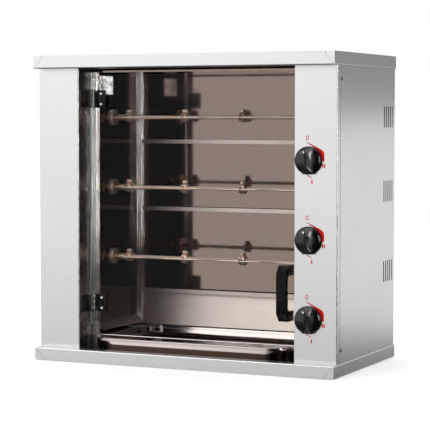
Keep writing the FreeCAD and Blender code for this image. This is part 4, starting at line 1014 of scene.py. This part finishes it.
class OVEN_OT_stage(bpy.types.Operator):
    """Make the pale floor, the soft lights and the camera"""

    bl_idname = "oven.stage"
    bl_label = "Studio"

    def execute(self, context):
        scene = context.scene
        deselect()
        bpy.ops.mesh.primitive_plane_add(size=FLOOR_SIZE, location=(0, 0, 0))
        floor = named("studio_floor")
        edit_all()
        bpy.ops.mesh.subdivide(number_cuts=3)
        leave_edit()
        # Matt white paper.
        card = moulded("studio_card", scene.oven_colours.floor, 0.6, grit=4, depth=0.02, bright=1)
        glow = next(node for node in card.node_tree.nodes if node.type == "BSDF_PRINCIPLED")
        glow.inputs["Emission Color"].default_value = (1, 1, 1, 1)
        glow.inputs["Emission Strength"].default_value = FLOOR_GLOW
        floor.data.materials.append(card)
        floor.visible_glossy = False

        world = bpy.data.worlds.new("studio")
        scene.world = world
        world.use_nodes = True
        tree = world.node_tree
        tree.nodes.clear()
        way = add(tree, "TexCoord").outputs["Generated"]
        turn = add(tree, "TexGradient", {"gradient_type": "RADIAL"}, {"Vector": way})
        ring = add(tree, "ValToRGB", (), {0: turn.outputs["Fac"]})
        ramp = ring.color_ramp
        while len(ramp.elements) < len(STUDIO_RING):
            ramp.elements.new(0.5)
        for element, (place, value) in zip(ramp.elements, STUDIO_RING):
            element.position = place
            element.color = (value, value, value, 1)
        height = add(tree, "SeparateXYZ", (), {0: way}).outputs["Z"]
        start = add(tree, "Math", {"operation": "MULTIPLY_ADD", 1: SKY_FROM - DARK_SKY_FROM,
                                   2: DARK_SKY_FROM, "use_clamp": True}, {0: ring})
        lift = add(tree, "MapRange", {"From Max": SKY_TO}, {"Value": height, "From Min": start})
        above = add(tree, "Mix", {"data_type": "RGBA", 7: (SKY,) * 3 + (1,)}, {0: lift, 6: ring})
        sink = add(tree, "MapRange", {"From Min": GROUND_FROM, "From Max": GROUND_TO},
                   {"Value": height})
        sunk = add(tree, "Mix", {"data_type": "RGBA", 6: (1, 1, 1, 1), 7: (GROUND,) * 3 + (1,)},
                   {0: sink})
        below = add(tree, "Mix", {"data_type": "RGBA", "blend_type": "MULTIPLY", 0: 1},
                    {6: above.outputs[2], 7: sunk.outputs[2]})
        soft = add(tree, "Background", (), {"Color": below.outputs[2]})
        plain = add(tree, "Background", {"Color": (1, 1, 1, 1), "Strength": 1.0})
        path = add(tree, "LightPath")
        mix = add(tree, "MixShader", (), {0: path.outputs["Is Camera Ray"], 1: soft, 2: plain})
        add(tree, "OutputWorld", (), {"Surface": mix})

        for name, place, target, size, power in STUDIO_LIGHTS:
            lamp = bpy.data.lights.new(name, "AREA")
            lamp.shape, lamp.size, lamp.size_y, lamp.energy = "RECTANGLE", size[0], size[1], power
            holder = bpy.data.objects.new(name, lamp)
            scene.collection.objects.link(holder)
            holder.location = place
            holder.rotation_euler = (Vector(target) - Vector(place)).to_track_quat("-Z", "Y").to_euler()
            holder.visible_camera = False
            holder.visible_transmission = False

        camera = bpy.data.cameras.new("studio_camera")
        camera.sensor_width, camera.lens = 36, CAMERA_LENS
        holder = bpy.data.objects.new("studio_camera", camera)
        scene.collection.objects.link(holder)
        holder.location = CAMERA_PLACE
        turn, tilt = math.radians(CAMERA_TURN), math.radians(CAMERA_TILT)
        aim = Vector((-math.sin(turn) * math.cos(tilt), math.cos(turn) * math.cos(tilt), -math.sin(tilt)))
        holder.rotation_euler = aim.to_track_quat("-Z", "Y").to_euler()
        scene.camera = holder
        scene.view_settings.view_transform = "Standard"
        return {"FINISHED"}


# The studio's brightness round the horizon, from the left (0) by the front (0.25), the right (0.5) and
# the back (0.75) to the left again: bright on the front left, dark on the front right.
STUDIO_RING = (
    (0.0, 0.9), (0.08, 1.3), (0.215, 1.3), (0.245, 0.5), (0.262, 0.012), (0.45, 0.012), (0.5, 0.15),
    (0.58, 0.33), (0.7, 0.33), (0.8, 0.7), (0.9, 0.9), (1.0, 0.9),
)
# The brightness overhead, the rise at which it starts over the bright and the dark side and is whole,
# and the share that is left underfoot.
SKY, SKY_FROM, DARK_SKY_FROM, SKY_TO = 0.85, 0.2, 0.7, 0.95
GROUND, GROUND_FROM, GROUND_TO = 0.15, -0.135, -0.2
# What the floor adds to the light that falls on it, so that it runs into the white behind it, and its
# width in metres.
FLOOR_GLOW, FLOOR_SIZE = 0.4, 14
# Name, place, target, size and power of each soft light.
STUDIO_LIGHTS = (
    ("key_softbox", (-2.2, -3.2, 2.6), (0, 0, 0.35), (2.2, 2.2), 32),
    ("top_softbox", (0, 0, 3.2), (0, 0, 0), (2.4, 2.4), 30),
    ("edge_strip", (3.1, -1.75, 0.9), (-0.1, 0, 0.4), (0.26, 1.8), 42),
    ("side_fill", (1.15, 1.5, 0.24), (0.4, 0, 0.38), (1.0, 0.75), 1.6),
)
# The camera's place in metres, its lens in millimetres, and how far it is turned and tilted in degrees.
CAMERA_PLACE, CAMERA_LENS, CAMERA_TURN, CAMERA_TILT = (1.800, -3.865, 0.608), 142.3, 25.0, 3.3


class OVEN_PT_pieces(bpy.types.Panel):
    """Lists the oven's sizes, colours and pieces in the sidebar"""

    bl_idname = "OVEN_PT_pieces"
    bl_label = "Rotisserie oven"
    bl_space_type = "VIEW_3D"
    bl_region_type = "UI"
    bl_category = "Oven"

    def draw(self, context):
        for group in (context.scene.oven_sizes, context.scene.oven_colours):
            for key in group.__annotations__:
                self.layout.prop(group, key)
        for operator in OPERATORS:
            self.layout.operator(operator.bl_idname)


OPERATORS = (
    OVEN_OT_frame_finishes,
    OVEN_OT_door_pane,
    OVEN_OT_door_handle,
    OVEN_OT_knobs,
    OVEN_OT_drip_pan,
    OVEN_OT_posts,
    OVEN_OT_hinges,
    OVEN_OT_screws,
    OVEN_OT_spits,
    OVEN_OT_lamp,
    OVEN_OT_small_fittings,
    OVEN_OT_stage,
)
CLASSES = (OvenSizes, OvenColours) + OPERATORS + (OVEN_PT_pieces,)


def register():
    for kind in CLASSES:
        bpy.utils.register_class(kind)
    bpy.types.Scene.oven_sizes = PointerProperty(type=OvenSizes)
    bpy.types.Scene.oven_colours = PointerProperty(type=OvenColours)


def unregister():
    del bpy.types.Scene.oven_sizes
    del bpy.types.Scene.oven_colours
    for kind in reversed(CLASSES):
        bpy.utils.unregister_class(kind)


def main():
    register()
    for operator in OPERATORS:
        group, name = operator.bl_idname.split(".")
        getattr(getattr(bpy.ops, group), name)()


if __name__ == "__main__":
    main()
